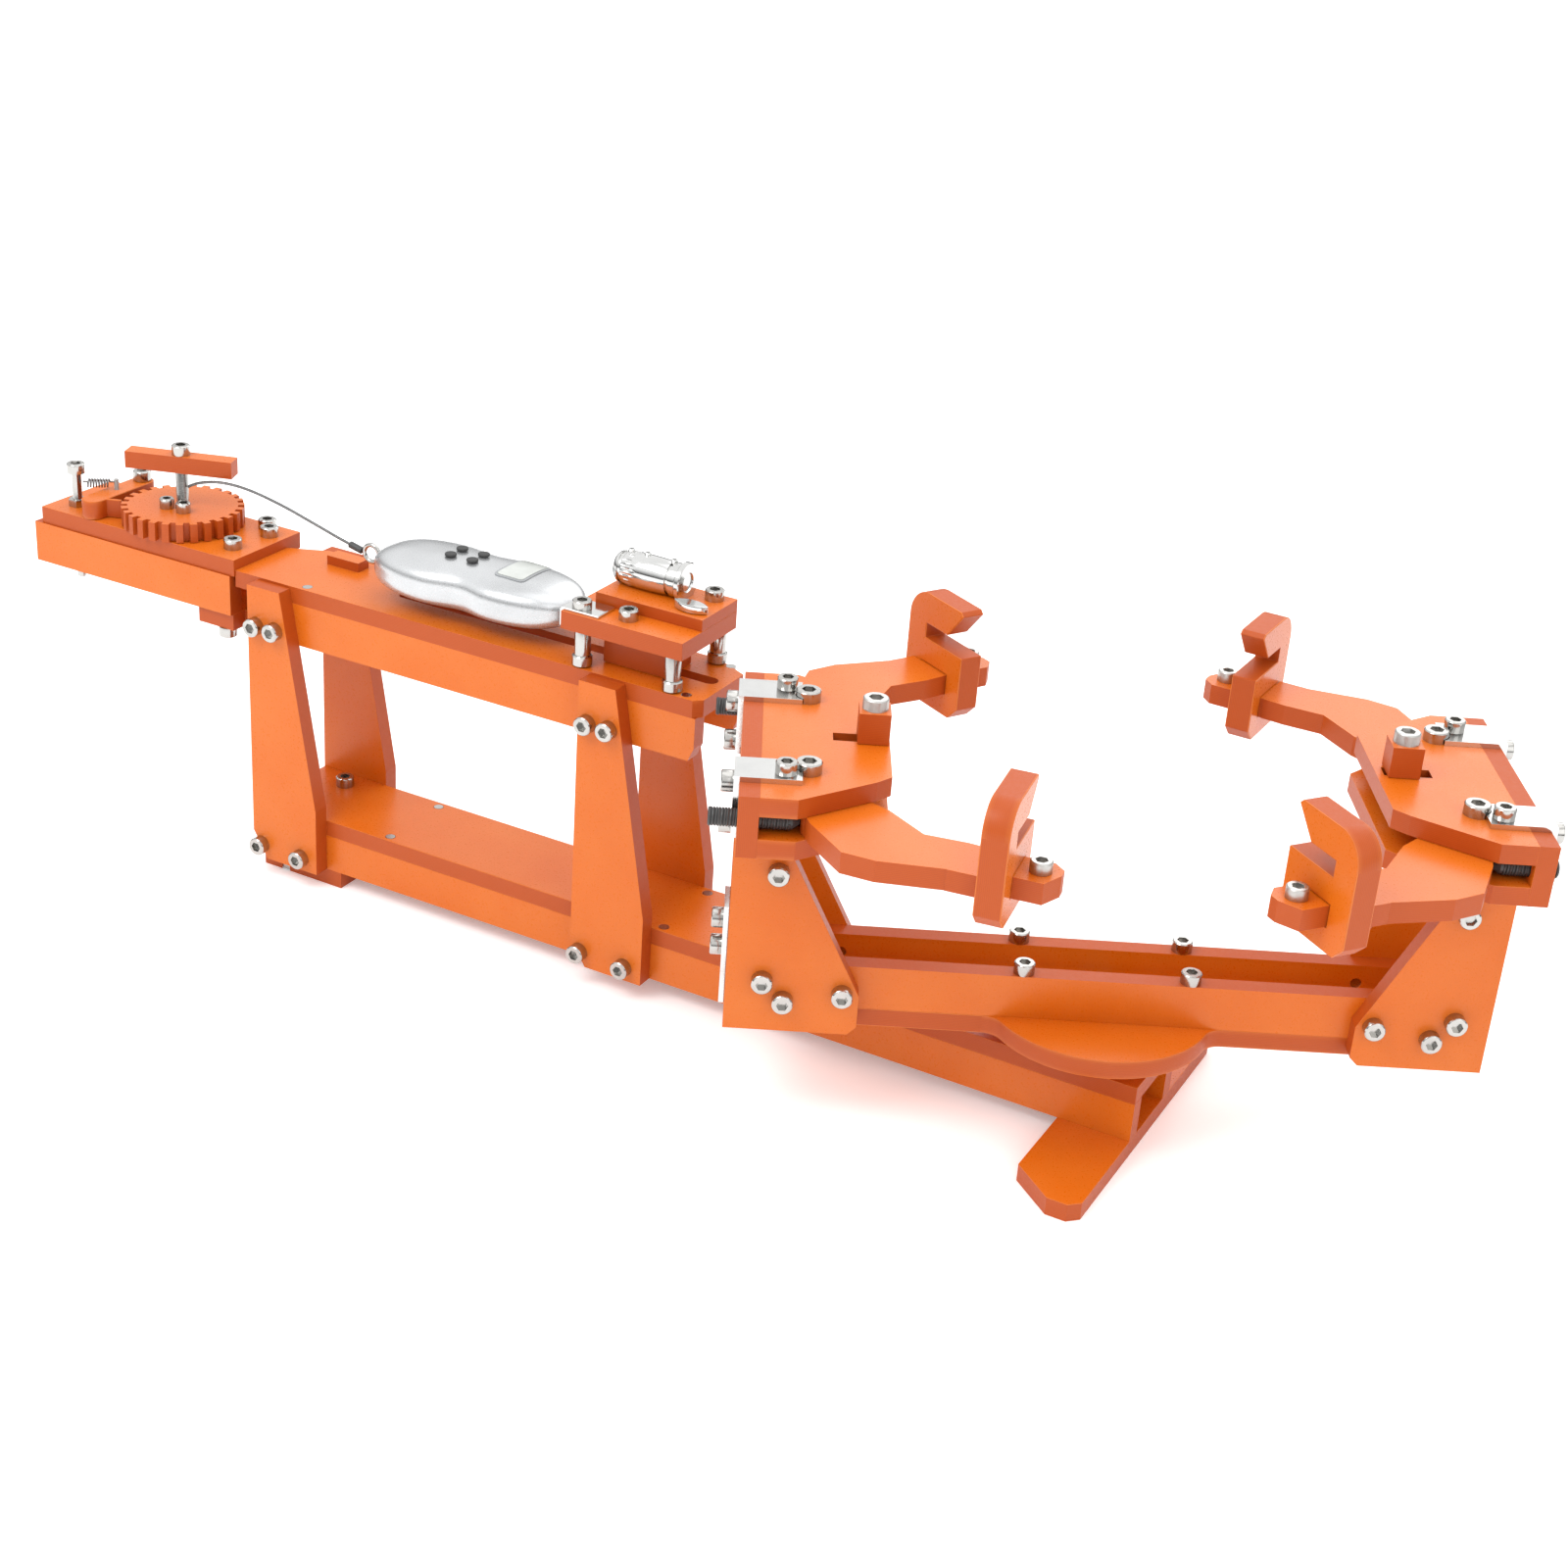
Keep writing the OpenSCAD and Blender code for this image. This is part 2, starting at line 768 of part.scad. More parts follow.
// A closed tube through rings of points
module swept_tube(points, rings, sides) {
    walls = [for (j = [0:rings - 2], k = [0:sides - 1], half = [0, 1])
        let (a = j * sides + k, b = j * sides + (k + 1) % sides)
            half == 0 ? [a, a + sides, b] : [b, a + sides, b + sides]];
    start = [for (k = [1:sides - 2]) [0, k, k + 1]];
    top = (rings - 1) * sides;
    end = [for (k = [1:sides - 2]) [top, top + k + 1, top + k]];
    polyhedron(points = points, faces = concat(walls, start, end));
}

// Turntable and beam

module turntable_plate() {
    fillet = 10;
    reach = tower_out;
    corner_x = sqrt(pow(disc_r + fillet, 2) - pow(beam_half + fillet, 2));
    color(ORANGE)
        on_beam()
            difference() {
                translate([0, 0, turn_z])
                    linear_extrude(plate_t)
                        union() {
                            circle(r = disc_r, $fn = 96);
                            square([2 * reach, beam_w], center = true);
                            for (sx = [-1, 1], sy = [-1, 1])
                                scale([sx, sy])
                                    difference() {
                                        polygon([[0, 0], [corner_x, beam_half],
                                                 [corner_x, beam_half + fillet]]);
                                        translate([corner_x, beam_half + fillet])
                                            circle(r = fillet);
                                    }
                        }
                hole_z(0, 0, turn_z, plate_t, pivot_d + 2 * bore_gap);
                for (x = WALL_SCREWS, sy = [-1, 1])
                    hole_z(x, sy * (beam_half - plate_t / 2), turn_z, plate_t);
                tower_screw_holes();
            }
}

WALL_SCREWS = [-38, 38];

module beam_walls() {
    color(ORANGE)
        on_beam()
            difference() {
                for (side = [-1, 1])
                    translate([-tower_out, side * (beam_half - plate_t / 2) - plate_t / 2, wall_z])
                        cube([2 * tower_out, plate_t, wall_h]);
                for (x = WALL_SCREWS, sy = [-1, 1])
                    hole_z(x, sy * (beam_half - plate_t / 2), wall_z, wall_h);
                tower_screw_holes();
            }
}

module tower_screw_holes() {
    for (side = [-1, 1], spot = TOWER_SCREWS)
        translate([side * spot[0], -beam_w, turn_z + spot[1]])
            rotate([-90, 0, 0])
                cylinder(d = screw_d + 2 * screw_gap, h = 2 * beam_w);
}

module tower_plates() {
    color(ORANGE)
        on_beam()
            difference() {
                for (sx = [-1, 1], y = [-beam_half, beam_half + plate_t])
                    scale([sx, 1, 1])
                        translate([0, y, turn_z])
                            rotate([90, 0, 0])
                                linear_extrude(plate_t)
                                    polygon([[tower_in + 4, 0], [tower_out, 0], [tower_out, tower_h],
                                             [tower_out - tower_top_w, tower_h],
                                             [tower_in, tower_slant_h], [tower_in, 4]]);
                tower_screw_holes();
            }
}

module tower_strap() {
    color(STEEL)
        on_beam()
            difference() {
                translate([-tower_out - strap_t, -10, turn_z + 2])
                    cube([strap_t, 20, 50]);
                for (z = STRAP_SCREWS)
                    translate([-tower_out - strap_t - 1, 0, turn_z + z])
                        rotate([0, 90, 0])
                            cylinder(d = screw_d + 2 * screw_gap, h = strap_t + 2);
            }
}

STRAP_SCREWS = [27, 41];

// Decks

// A deck's outline on the right tower
module deck_outline() {
    polygon(mirrored([[deck_in, arm_pivot_y], [deck_in + 6.5, 44], [147.5, deck_half_w],
                      [end_plate_in, deck_half_w]]));
}

module arm_bolt_holes(z, h) {
    for (sx = [-1, 1], sy = [-1, 1])
        hole_z(sx * arm_pivot_x, sy * arm_pivot_y, z, h, arm_bolt_d + 2 * screw_gap);
}

module lower_decks() {
    notch_out = 133;
    color(ORANGE)
        on_beam()
            difference() {
                for (sx = [-1, 1])
                    scale([sx, 1, 1])
                        translate([0, 0, tower_top])
                            linear_extrude(plate_t)
                                difference() {
                                    deck_outline();
                                    for (sy = [-1, 1])
                                        scale([1, sy])
                                            polygon([[deck_in - 1, 40],
                                                     [deck_in - 1, deck_half_w + 4],
                                                     [notch_out, deck_half_w + 4],
                                                     [notch_out, deck_half_w - 2]]);
                                }
                arm_bolt_holes(tower_top, plate_t);
            }
}

module upper_decks() {
    slot_in = deck_in + 3.5;
    slot_out = 132.5;
    slot_w = 8;
    color(ORANGE)
        on_beam()
            difference() {
                for (sx = [-1, 1])
                    scale([sx, 1, 1])
                        translate([0, 0, upper_deck_z])
                            linear_extrude(plate_t)
                                difference() {
                                    deck_outline();
                                    translate([slot_in, -slot_w / 2])
                                        square([slot_out - slot_in, slot_w]);
                                }
                arm_bolt_holes(upper_deck_z, plate_t);
                for (sx = [-1, 1], sy = [-1, 1])
                    hole_z(sx * strap_screw_x, sy * strap_screw_y, upper_deck_z, plate_t);
            }
}

strap_in = 146;
strap_screw_x = 153;
strap_screw_y = 45;

module adjuster_holes(extra) {
    for (sx = [-1, 1], sy = [-1, 1])
        translate([sx * (tower_out - plate_t / 2) - 10, sy * adjust_y, adjust_z])
            rotate([0, 90, 0])
                cylinder(d = adjust_d + 2 * extra, h = 20);
}

module end_plates() {
    color(ORANGE)
        on_beam()
            difference() {
                for (sx = [-1, 1])
                    scale([sx, 1, 1])
                        translate([end_plate_in, -deck_half_w, tower_top])
                            cube([plate_t, 2 * deck_half_w, upper_deck_top - tower_top]);
                adjuster_holes(bore_gap);
                end_screw_holes();
            }
}

END_SCREWS = [-42, 42];

module end_screw_holes() {
    for (sx = [-1, 1], y = END_SCREWS, z = [tower_top + plate_t / 2, upper_deck_top - plate_t / 2])
        translate([sx * tower_out - 15, y, z])
            rotate([0, 90, 0])
                cylinder(d = screw_d + 2 * screw_gap, h = 30);
}

// Polished straps, bent over each end plate
module deck_straps() {
    out = end_plate_in + plate_t;
    color(STEEL)
        on_beam()
            difference() {
                at_four_corners() {
                    translate([strap_in, strap_y - strap_w / 2, upper_deck_top])
                        cube([out + strap_t - strap_in, strap_w, strap_t]);
                    translate([out, strap_y - strap_w / 2, tower_top + 2])
                        cube([strap_t, strap_w, upper_deck_top - tower_top - 2 + strap_t / 2]);
                }
                for (sx = [-1, 1], sy = [-1, 1])
                    hole_z(sx * strap_screw_x, sy * strap_screw_y, upper_deck_top, strap_t);
                for (sx = [-1, 1], sy = [-1, 1])
                    hole_z(sx * arm_pivot_x, sy * arm_pivot_y, upper_deck_top, strap_t,
                           head_d * arm_bolt_d / screw_d + 2 * slide_gap);
                end_screw_holes();
            }
}

module turntable_screws() {
    color(STEEL)
        on_beam() {
            for (x = WALL_SCREWS, side = [-1, 1])
                translate([x, side * (beam_half - plate_t / 2), wall_top])
                    cap_screw(wall_h + plate_t);
            for (sx = [-1, 1], spot = TOWER_SCREWS, side = [-1, 1])
                if (spot[1] < tower_h / 2)
                    translate([sx * spot[0], side * (beam_half + plate_t), turn_z + spot[1]])
                        side_screw(side, plate_t + 8);
                else
                    translate([sx * spot[0], side * (beam_half + plate_t), turn_z + spot[1]])
                        side_screw(side, plate_t);
            at_four_corners() {
                translate([arm_pivot_x, arm_pivot_y, upper_deck_top])
                    cap_screw(upper_deck_top - tower_top, arm_bolt_d);
                translate([arm_pivot_x, arm_pivot_y, tower_top - 4.8])
                    nut(arm_bolt_d);
                translate([strap_screw_x, strap_screw_y, upper_deck_top + strap_t])
                    cap_screw(strap_t + plate_t);
                for (z = [tower_top + plate_t / 2, upper_deck_top - plate_t / 2])
                    translate([end_plate_in + plate_t + strap_t, END_SCREWS[1], z])
                        rotate([0, 90, 0])
                            cap_screw(strap_t + plate_t);
            }
            for (z = STRAP_SCREWS)
                translate([-tower_out - strap_t, 0, turn_z + z])
                    rotate([0, -90, 0])
                        cap_screw(strap_t);
        }
}

// Arms, hooks and adjusters, each drawn from its arm's pivot and mirrored to its corner

lobe = [14.4, 13];
lobe_r = 7;

// Places a child in an arm's own frame: its pivot at the origin, its hook along +X
module at_arm(spot) {
    on_beam()
        scale([spot[0], spot[1], 1])
            translate([arm_pivot_x, arm_pivot_y, 0])
                rotate(180 - spot[2])
                    children();
}

// Places a child at an arm's tongue: the tongue along +X, outwards along -Y
module at_tongue() {
    translate([arm_reach, 0, 0])
        rotate(tongue_turn)
            children();
}

module arm_outline() {
    half = tongue_w / 2;
    back = -hook_t / 2 - slide_gap;
    front = hook_t / 2 + tongue_past;
    circle(r = 13);
    translate([lobe[0], -lobe[1]])
        circle(r = lobe_r);
    polygon([[0, 13], [arm_reach - 62, 9], [arm_reach - 39, 0], [arm_reach - 21, 6],
             [arm_reach - 10, 8], [arm_reach - 7, -16], [arm_reach - 41, -34],
             [arm_reach - 56, -37], [18, -24], [9, -17], [5, -11.9]]);
    at_tongue()
        polygon([[back - 6, half], [front - chamfer, half], [front, half - chamfer],
                 [front, -half + 2 * chamfer], [front - chamfer, -half], [back, -half],
                 [back, -half - 6], [back - 14, -half - 6]]);
}

module arm(spot) {
    color(ORANGE)
        at_arm(spot)
            difference() {
                translate([0, 0, arm_z])
                    linear_extrude(arm_t)
                        arm_outline();
                hole_z(0, 0, arm_z, arm_t, arm_bolt_d + 2 * bore_gap);
                at_tongue()
                    hole_z(tongue_past / 2 + hook_t / 2, 0, arm_z, arm_t);
            }
    color(STEEL)
        at_arm(spot)
            at_tongue()
                translate([tongue_past / 2 + hook_t / 2, 0, arm_z + arm_t])
                    cap_screw(arm_t + 2);
}

// A hook's outline: across is the distance from its outer edge, up is from its bottom
module hook_outline() {
    nose_low = 31;
    nose_high = 42;
    nose_z = lip_h + slit_h;
    difference() {
        union() {
            square([hook_w, lip_h]);
            square([slit_in, hook_h - hook_r]);
            polygon([[hook_r, nose_z], [nose_low, nose_z], [nose_high, hook_h - 2],
                     [nose_high - 2, hook_h], [hook_r, hook_h]]);
            translate([0, lip_h - 1])
                square([slit_in, 2]);
            difference() {
                translate([hook_r, hook_h - hook_r])
                    circle(r = hook_r);
                translate([hook_r, lip_h])
                    square([hook_r + 1, hook_h]);
            }
            translate([slit_in - 1, nose_z])
                square([hook_r - slit_in + 3, hook_h - nose_z - 2]);
        }
        translate([hook_w, 0])
            rotate(45)
                square(9, center = true);
        translate([0, 0])
            rotate(45)
                square(9, center = true);
    }
}

module hook(spot) {
    half = tongue_w / 2;
    color(ORANGE)
        at_arm(spot)
            at_tongue()
                difference() {
                    translate([hook_t / 2, -tongue_mid, hook_bottom_z])
                        rotate([90, 0, -90])
                            mirror([1, 0, 0])
                                linear_extrude(hook_t)
                                    hook_outline();
                    translate([-hook_t, -half - slide_gap, arm_z - slide_gap])
                        cube([2 * hook_t, tongue_w + 2 * slide_gap, arm_t + 2 * slide_gap]);
                }
}

// An adjusting screw pushes the lobe of its arm along the beam
module adjuster(spot) {
    turn = spot[2];
    lobe_x = arm_pivot_x - lobe[0] * cos(turn) + lobe[1] * sin(turn);
    tip = lobe_x + sqrt(pow(lobe_r + slide_gap, 2) - pow(lobe_offset(turn), 2));
    outer = tower_out + (spot[0] < 0 ? left_adjust_out : right_adjust_out);
    color(BLACK)
        on_beam()
            scale([spot[0], spot[1], 1])
                translate([tip, adjust_y, adjust_z])
                    rotate([0, 90, 0])
                        difference() {
                            union() {
                                cylinder(d1 = 3, d2 = adjust_d, h = 3);
                                translate([0, 0, 3])
                                    cylinder(d = adjust_d, h = outer - tip - 3);
                            }
                            translate([0, 0, outer - tip - 4])
                                cylinder(d = 4.6, h = 5, $fn = 6);
                        }
}

// How far the lobe's middle lies off an adjusting screw's axis
function lobe_offset(turn) = arm_pivot_y + lobe[0] * sin(turn) + lobe[1] * cos(turn) - adjust_y;

module arm_front_left() { arm(ARM_SPOTS[0]); }
module arm_front_right() { arm(ARM_SPOTS[1]); }
module arm_rear_left() { arm(ARM_SPOTS[2]); }
module arm_rear_right() { arm(ARM_SPOTS[3]); }
module hook_front_left() { hook(ARM_SPOTS[0]); }
module hook_front_right() { hook(ARM_SPOTS[1]); }
module hook_rear_left() { hook(ARM_SPOTS[2]); }
module hook_rear_right() { hook(ARM_SPOTS[3]); }
module adjuster_front_left() { adjuster(ARM_SPOTS[0]); }
module adjuster_front_right() { adjuster(ARM_SPOTS[1]); }
module adjuster_rear_left() { adjuster(ARM_SPOTS[2]); }
module adjuster_rear_right() { adjuster(ARM_SPOTS[3]); }

// A centre post on the upper deck, with its bolt through the deck's slot
module centre_post(side, x) {
    on_beam()
        translate([side * x, 0, 0]) {
            color(ORANGE)
                difference() {
                    translate([-post_w / 2, -post_w / 2, upper_deck_top + slide_gap])
                        cube([post_w, post_w, post_h]);
                    hole_z(0, 0, upper_deck_top, post_h + 2, arm_bolt_d);
                }
            color(STEEL) {
                translate([0, 0, upper_deck_top + slide_gap + post_h])
                    cap_screw(post_h + plate_t + 6, arm_bolt_d);
                translate([0, 0, upper_deck_z - slide_gap - 5])
                    nut(arm_bolt_d);
            }
        }
}

module post_left() { centre_post(-1, left_post_x); }
module post_right() { centre_post(1, right_post_x); }

// Carriage

foot_x = [carriage_left + 10, carriage_right - 7];

module carriage_plate() {
    color(ORANGE)
        difference() {
            translate([carriage_left, -half_w, carriage_z])
                cube([carriage_right - carriage_left, base_w, plate_t]);
            for (spot = LEDGE_SCREWS)
                hole_z(carriage_right + spot[0], spot[1], carriage_z, plate_t);
        }
}

LEDGE_SCREWS = [[-36, -15.5], [-60, -19], [-9, 19]];
upper_y = -half_w + ledge_w;

module carriage_upper_plate() {
    color(ORANGE)
        difference() {
            translate([carriage_left + 8, upper_y, carriage_top])
                cube([carriage_right - carriage_left - 8, half_w - upper_y, upper_plate_t]);
            hole_z(carriage_right + LEDGE_SCREWS[2][0], LEDGE_SCREWS[2][1], carriage_top, upper_plate_t);
            hole_z(jaw_spot[0], jaw_spot[1], carriage_top, upper_plate_t, 4 + 2 * bore_gap);
        }
}

// The keel runs in the rail's slot, with a foot under the rail's top plate
module carriage_keel() {
    left = carriage_left + 16;
    right = carriage_right - 16;
    half_slot = rail_slot_w / 2 - slide_gap;
    color(ORANGE) {
        translate([left, -12, rail_top_z + slide_gap])
            cube([right - left, 24, carriage_rise - slide_gap]);
        translate([left + 4, -half_slot, rail_plate_z - slide_gap])
            cube([right - left - 8, 2 * half_slot, plate_t + 2 * slide_gap]);
        translate([left + 4, -12, rail_plate_z - slide_gap - 5])
            cube([right - left - 8, 24, 5]);
    }
}

// Screws of the carriage, and the four steel feet on which it runs
module carriage_screws() {
    color(STEEL) {
        for (spot = [LEDGE_SCREWS[0], LEDGE_SCREWS[1]])
            translate([carriage_right + spot[0], spot[1], carriage_top])
                cap_screw(plate_t);
        translate([carriage_right + LEDGE_SCREWS[2][0], LEDGE_SCREWS[2][1], upper_top])
            cap_screw(plate_t + upper_plate_t);
        for (x = foot_x, side = [-1, 1])
            translate([x, side * (half_w - foot_d / 2 - 0.5), rail_top_z + slide_gap])
                foot_post();
    }
}

module foot_post() {
    cylinder(d = foot_d, h = carriage_rise - slide_gap);
}

// String gripper

barrel_r = 9;
barrel_y = 12;
barrel = [carriage_left + 8, carriage_right - 23];
jaw_spot = [carriage_right - 10.5, -1];

module gripper_body() {
    color(STEEL)
        translate([0, barrel_y, upper_top + barrel_r - 1])
            difference() {
                union() {
                    translate([barrel[0], 0, 0])
                        rotate([0, 90, 0])
                            cylinder(r = barrel_r, h = barrel[1] - barrel[0]);
                    translate([barrel[1], 0, 0])
                        rotate([0, 90, 0])
                            cylinder(r = barrel_r + 1, h = 3);
                }
                translate([barrel[0] - 1, -2 * barrel_r, -2 * barrel_r - barrel_r + 1])
                    cube([barrel[1] - barrel[0] + 10, 4 * barrel_r, 2 * barrel_r]);
            }
}

module gripper_jaw() {
    color(STEEL)
        translate([jaw_spot[0], jaw_spot[1], 0])
            difference() {
                union() {
                    translate([0, 0, upper_top + slide_gap])
                        intersection() {
                            translate([0, 9, 0])
                                cylinder(r = 13, h = 4);
                            translate([0, -9, 0])
                                cylinder(r = 13, h = 4);
                        }
                    translate([0, 0, carriage_top + 0.5])
                        cylinder(d = 4, h = upper_plate_t);
                }
            }
}

// Scale

// Half width of the housing along its length, u from -1 to 1: two lobes and a waist
function scale_half(u) = scale_w / 2 * pow(1 - pow(abs(u), 3.4), 0.5) * (1 - 0.16 * exp(-u * u * 22));
function scale_rise_at(u) = scale_h / 2 * pow(1 - pow(abs(u), 5), 0.5);

module scale_body() {
    stations = 28;
    ring = 24;
    us = [for (k = [0:stations]) scale_tip * sin(-90 + 180 * k / stations)];
    points = [for (u = us, k = [0:ring - 1])
        let (a = 360 * k / ring, c = cos(a), s = sin(a))
            [u * scale_len / 2, scale_half(u) * sign(c) * pow(abs(c), 0.8),
             scale_rise_at(u) * sign(s) * pow(abs(s), 0.62)]];
    color(SILVER)
        translate([scale_left + scale_len / 2, 0, scale_z + scale_h / 2])
            swept_tube(points, stations + 1, ring);
}

// The housing's two ends are cut flat a little short of its full length
scale_tip = 0.985;
scale_inset = (1 - scale_tip) * scale_len / 2;
window_spot = [scale_left + 84, 3];
window_size = [15, 25];
button_spot = [scale_left + 52, 1];
button_travel = 0.3;

module scale_window() {
    color([0.62, 0.66, 0.6])
        translate([window_spot[0] - window_size[0] / 2, window_spot[1] - window_size[1] / 2,
                   scale_z + scale_h + 0.05])
            cube([window_size[0], window_size[1], 0.8]);
}

// A button whose cap is pressed towards the housing
module button(side_x, side_y) {
    color(BLACK)
        translate([button_spot[0] + side_x * 6.5, button_spot[1] + side_y * 5,
                   scale_z + scale_h + button_travel])
            cylinder(d = 6, h = 1.4);
}

module button_front_left() { button(-1, -1); }
module button_front_right() { button(1, -1); }
module button_rear_left() { button(-1, 1); }
module button_rear_right() { button(1, 1); }

module scale_hook() {
    eye_z = scale_z + scale_h / 2;
    color(STEEL) {
        translate([scale_left - 6, 0, eye_z])
            rotate([90, 0, 0])
                rotate_extrude($fn = 32)
                    translate([4.5, 0])
                        circle(d = 2.4, $fn = 16);
        translate([scale_left - 1, 0, eye_z])
            rotate([0, 90, 0])
                cylinder(d = 6, h = 1 + scale_inset);
        translate([scale_left + scale_len - scale_inset, -5, eye_z - 3])
            cube([carriage_left - scale_left - scale_len + scale_inset, 10, 6]);
    }
}

// Pull cable, from the winding post to the eye of the scale
CABLE_ROUTE = [[-533.3, 0, 192], [-531, 0, 193.4], [-525, 0, 196], [-515, 0, 198.6], [-505, 0, 199.6],
               [-495, 0, 199.4], [-485, 0, 198.2], [-475, 0, 196.4], [-465, 0, 194.2], [-455, 0, 191.6],
               [-445, 0, 189], [-436, 0, 186.6], [-427.8, 0, 184.6]];

module pull_cable() {
    last = len(CABLE_ROUTE) - 1;
    heads = [for (k = [0:last]) CABLE_ROUTE[min(k + 1, last)] - CABLE_ROUTE[max(k - 1, 0)]];
    points = [for (k = [0:last]) each sweep_ring(CABLE_ROUTE[k], heads[k], cable_d / 2, 8)];
    color(STEEL)
        swept_tube(points, last + 1, 8);
}

module cable_ferrule() {
    end = CABLE_ROUTE[len(CABLE_ROUTE) - 1];
    color(BLACK)
        translate([ferrule_left, end[1], end[2]])
            rotate([0, 90 + 13, 0])
                cylinder(d = 3.6, h = 8);
}

base_top_plate();
base_side_rails();
left_foot();
right_foot();
left_legs();
middle_legs();
rail_top_plate();
rail_side_plates();
head_top_plate();
head_side_plates();
head_link_plate();
frame_screws();
pivot_bearing();
pivot_bolt();
spring_post();
pawl_spring();
pawl();
ratchet_wheel();
crank_post();
crank_handle();
crank_screws();
turntable_plate();
beam_walls();
tower_plates();
lower_decks();
upper_decks();
end_plates();
deck_straps();
tower_strap();
turntable_screws();
arm_front_left();
arm_front_right();
arm_rear_left();
arm_rear_right();
hook_front_left();
hook_front_right();
hook_rear_left();
hook_rear_right();
adjuster_front_left();
adjuster_front_right();
adjuster_rear_left();
adjuster_rear_right();
post_left();
post_right();
carriage_plate();
carriage_upper_plate();
carriage_keel();
carriage_screws();
gripper_body();
gripper_jaw();
scale_body();
scale_window();
button_front_left();
button_front_right();
button_rear_left();
button_rear_right();
scale_hook();
pull_cable();
cable_ferrule();
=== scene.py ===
"""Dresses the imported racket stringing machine: finishes, threads, wound parts, scale and stage."""
import json
import math

import bmesh
import bpy
from mathutils import Matrix, Vector


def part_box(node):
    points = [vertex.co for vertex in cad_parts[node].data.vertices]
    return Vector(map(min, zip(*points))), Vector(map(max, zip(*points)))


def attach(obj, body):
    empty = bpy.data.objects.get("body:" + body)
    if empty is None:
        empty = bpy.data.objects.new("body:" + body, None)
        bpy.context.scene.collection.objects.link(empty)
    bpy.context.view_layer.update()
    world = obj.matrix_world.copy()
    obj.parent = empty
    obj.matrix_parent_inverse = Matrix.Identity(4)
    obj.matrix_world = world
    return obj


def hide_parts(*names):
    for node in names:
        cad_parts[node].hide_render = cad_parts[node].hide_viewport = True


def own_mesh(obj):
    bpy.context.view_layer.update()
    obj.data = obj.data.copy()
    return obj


bl_info = {
    "name": "Racket Stringing Machine",
    "version": (1, 0, 0),
    "blender": (4, 5, 0),
    "location": "View3D > Sidebar > Stringer",
    "description": "Finishes and fine parts of a tabletop racket stringing machine",
    "category": "Object",
}

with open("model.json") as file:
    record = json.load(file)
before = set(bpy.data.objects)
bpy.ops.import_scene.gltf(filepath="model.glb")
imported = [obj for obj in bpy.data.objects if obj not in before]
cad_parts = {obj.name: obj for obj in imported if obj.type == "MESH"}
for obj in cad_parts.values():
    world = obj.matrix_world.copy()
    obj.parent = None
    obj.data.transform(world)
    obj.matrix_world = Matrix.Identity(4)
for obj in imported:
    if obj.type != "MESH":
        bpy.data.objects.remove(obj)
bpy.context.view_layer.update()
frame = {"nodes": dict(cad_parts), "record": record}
NODES = frame["nodes"]
JOINTS = {joint["name"]: joint for joint in frame["record"]["behaviour"]["joints"]}

BEAM_TURN = math.radians(28.05)
ALONG_BEAM = (math.cos(BEAM_TURN), math.sin(BEAM_TURN), 0.0)
ACROSS_BEAM = (-math.sin(BEAM_TURN), math.cos(BEAM_TURN), 0.0)
UP = (0.0, 0.0, 1.0)
UP_VECTOR = Vector(UP)
BACK = (0.0, 1.0, 0.0)
CORNERS = ("front_left", "front_right", "rear_left", "rear_right")

LYING_PLATES = ("base_top_plate", "left_foot", "right_foot", "rail_top_plate", "head_top_plate",
                "head_link_plate", "turntable_plate", "lower_decks", "upper_decks", "carriage_plate",
                "carriage_upper_plate", "carriage_keel", "crank_handle")
STANDING_PLATES = {"base_side_rails": BACK, "left_legs": BACK, "middle_legs": BACK,
                   "rail_side_plates": BACK, "head_side_plates": BACK,
                   "beam_walls": ACROSS_BEAM, "tower_plates": ACROSS_BEAM, "end_plates": ALONG_BEAM}
SCREW_NODES = ("frame_screws", "pivot_bolt", "spring_post", "crank_post", "crank_screws",
               "turntable_screws", "carriage_screws", "scale_hook")
POLISHED_NODES = ("deck_straps", "tower_strap", "gripper_jaw")
ROUTE = [(-0.5333, 0.0, 0.192), (-0.531, 0.0, 0.1934), (-0.525, 0.0, 0.196), (-0.515, 0.0, 0.1986),
         (-0.505, 0.0, 0.1996), (-0.495, 0.0, 0.1994), (-0.485, 0.0, 0.1982), (-0.475, 0.0, 0.1964),
         (-0.465, 0.0, 0.1942), (-0.455, 0.0, 0.1916), (-0.445, 0.0, 0.189), (-0.436, 0.0, 0.1866),
         (-0.4278, 0.0, 0.1846)]
CABLE_RADIUS = 0.0008

SPRING_ENDS = ((-0.5941, -0.014, 0.1845), (-0.5809, -0.004, 0.1845))
SPRING_TAIL = 0.0025
SPRING_TURNS = 8.0
COIL_RADIUS = 0.0021
WIRE_RADIUS = 0.00042
# Heights of the top of the nut under the spring post and of the post's end below it
POST_NUT_TOP = 0.1395
POST_END_TOP = 0.136
# Where on the wheel the pawl's nose sits
PAWL_NOSE = math.radians(207.3)

# Heights at which a node turns from plate to steel, a hair past the faces
HAIR = 0.0001
DECK_HEIGHT = 0.186
POST_GAP = 0.0003
POST_HEIGHT = 0.0145
ARM_TOP = 0.1768
POST_TOP = DECK_HEIGHT + POST_GAP + POST_HEIGHT + HAIR
DECK_TOP = DECK_HEIGHT + 2 * HAIR
PAWL_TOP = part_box("ratchet_wheel")[1][2] + HAIR

ADJUSTER_TIP = 0.003
HOUSING_HALF_WIDTH = 0.025
# How square the housing's section is, across and upwards
SIDE_ROUND = 0.8
TOP_ROUND = 0.62
# The share of the housing's length at which its ends are closed
HOUSING_END = 0.985
SEAM_WIDTH = 0.0006
BEZEL_RIM = 0.0014
GRIPPER_RADIUS = 0.009
COLLAR_END = 0.0058
FOOT_BOTTOM = 0.1658
FOOT_OUT = 0.0215

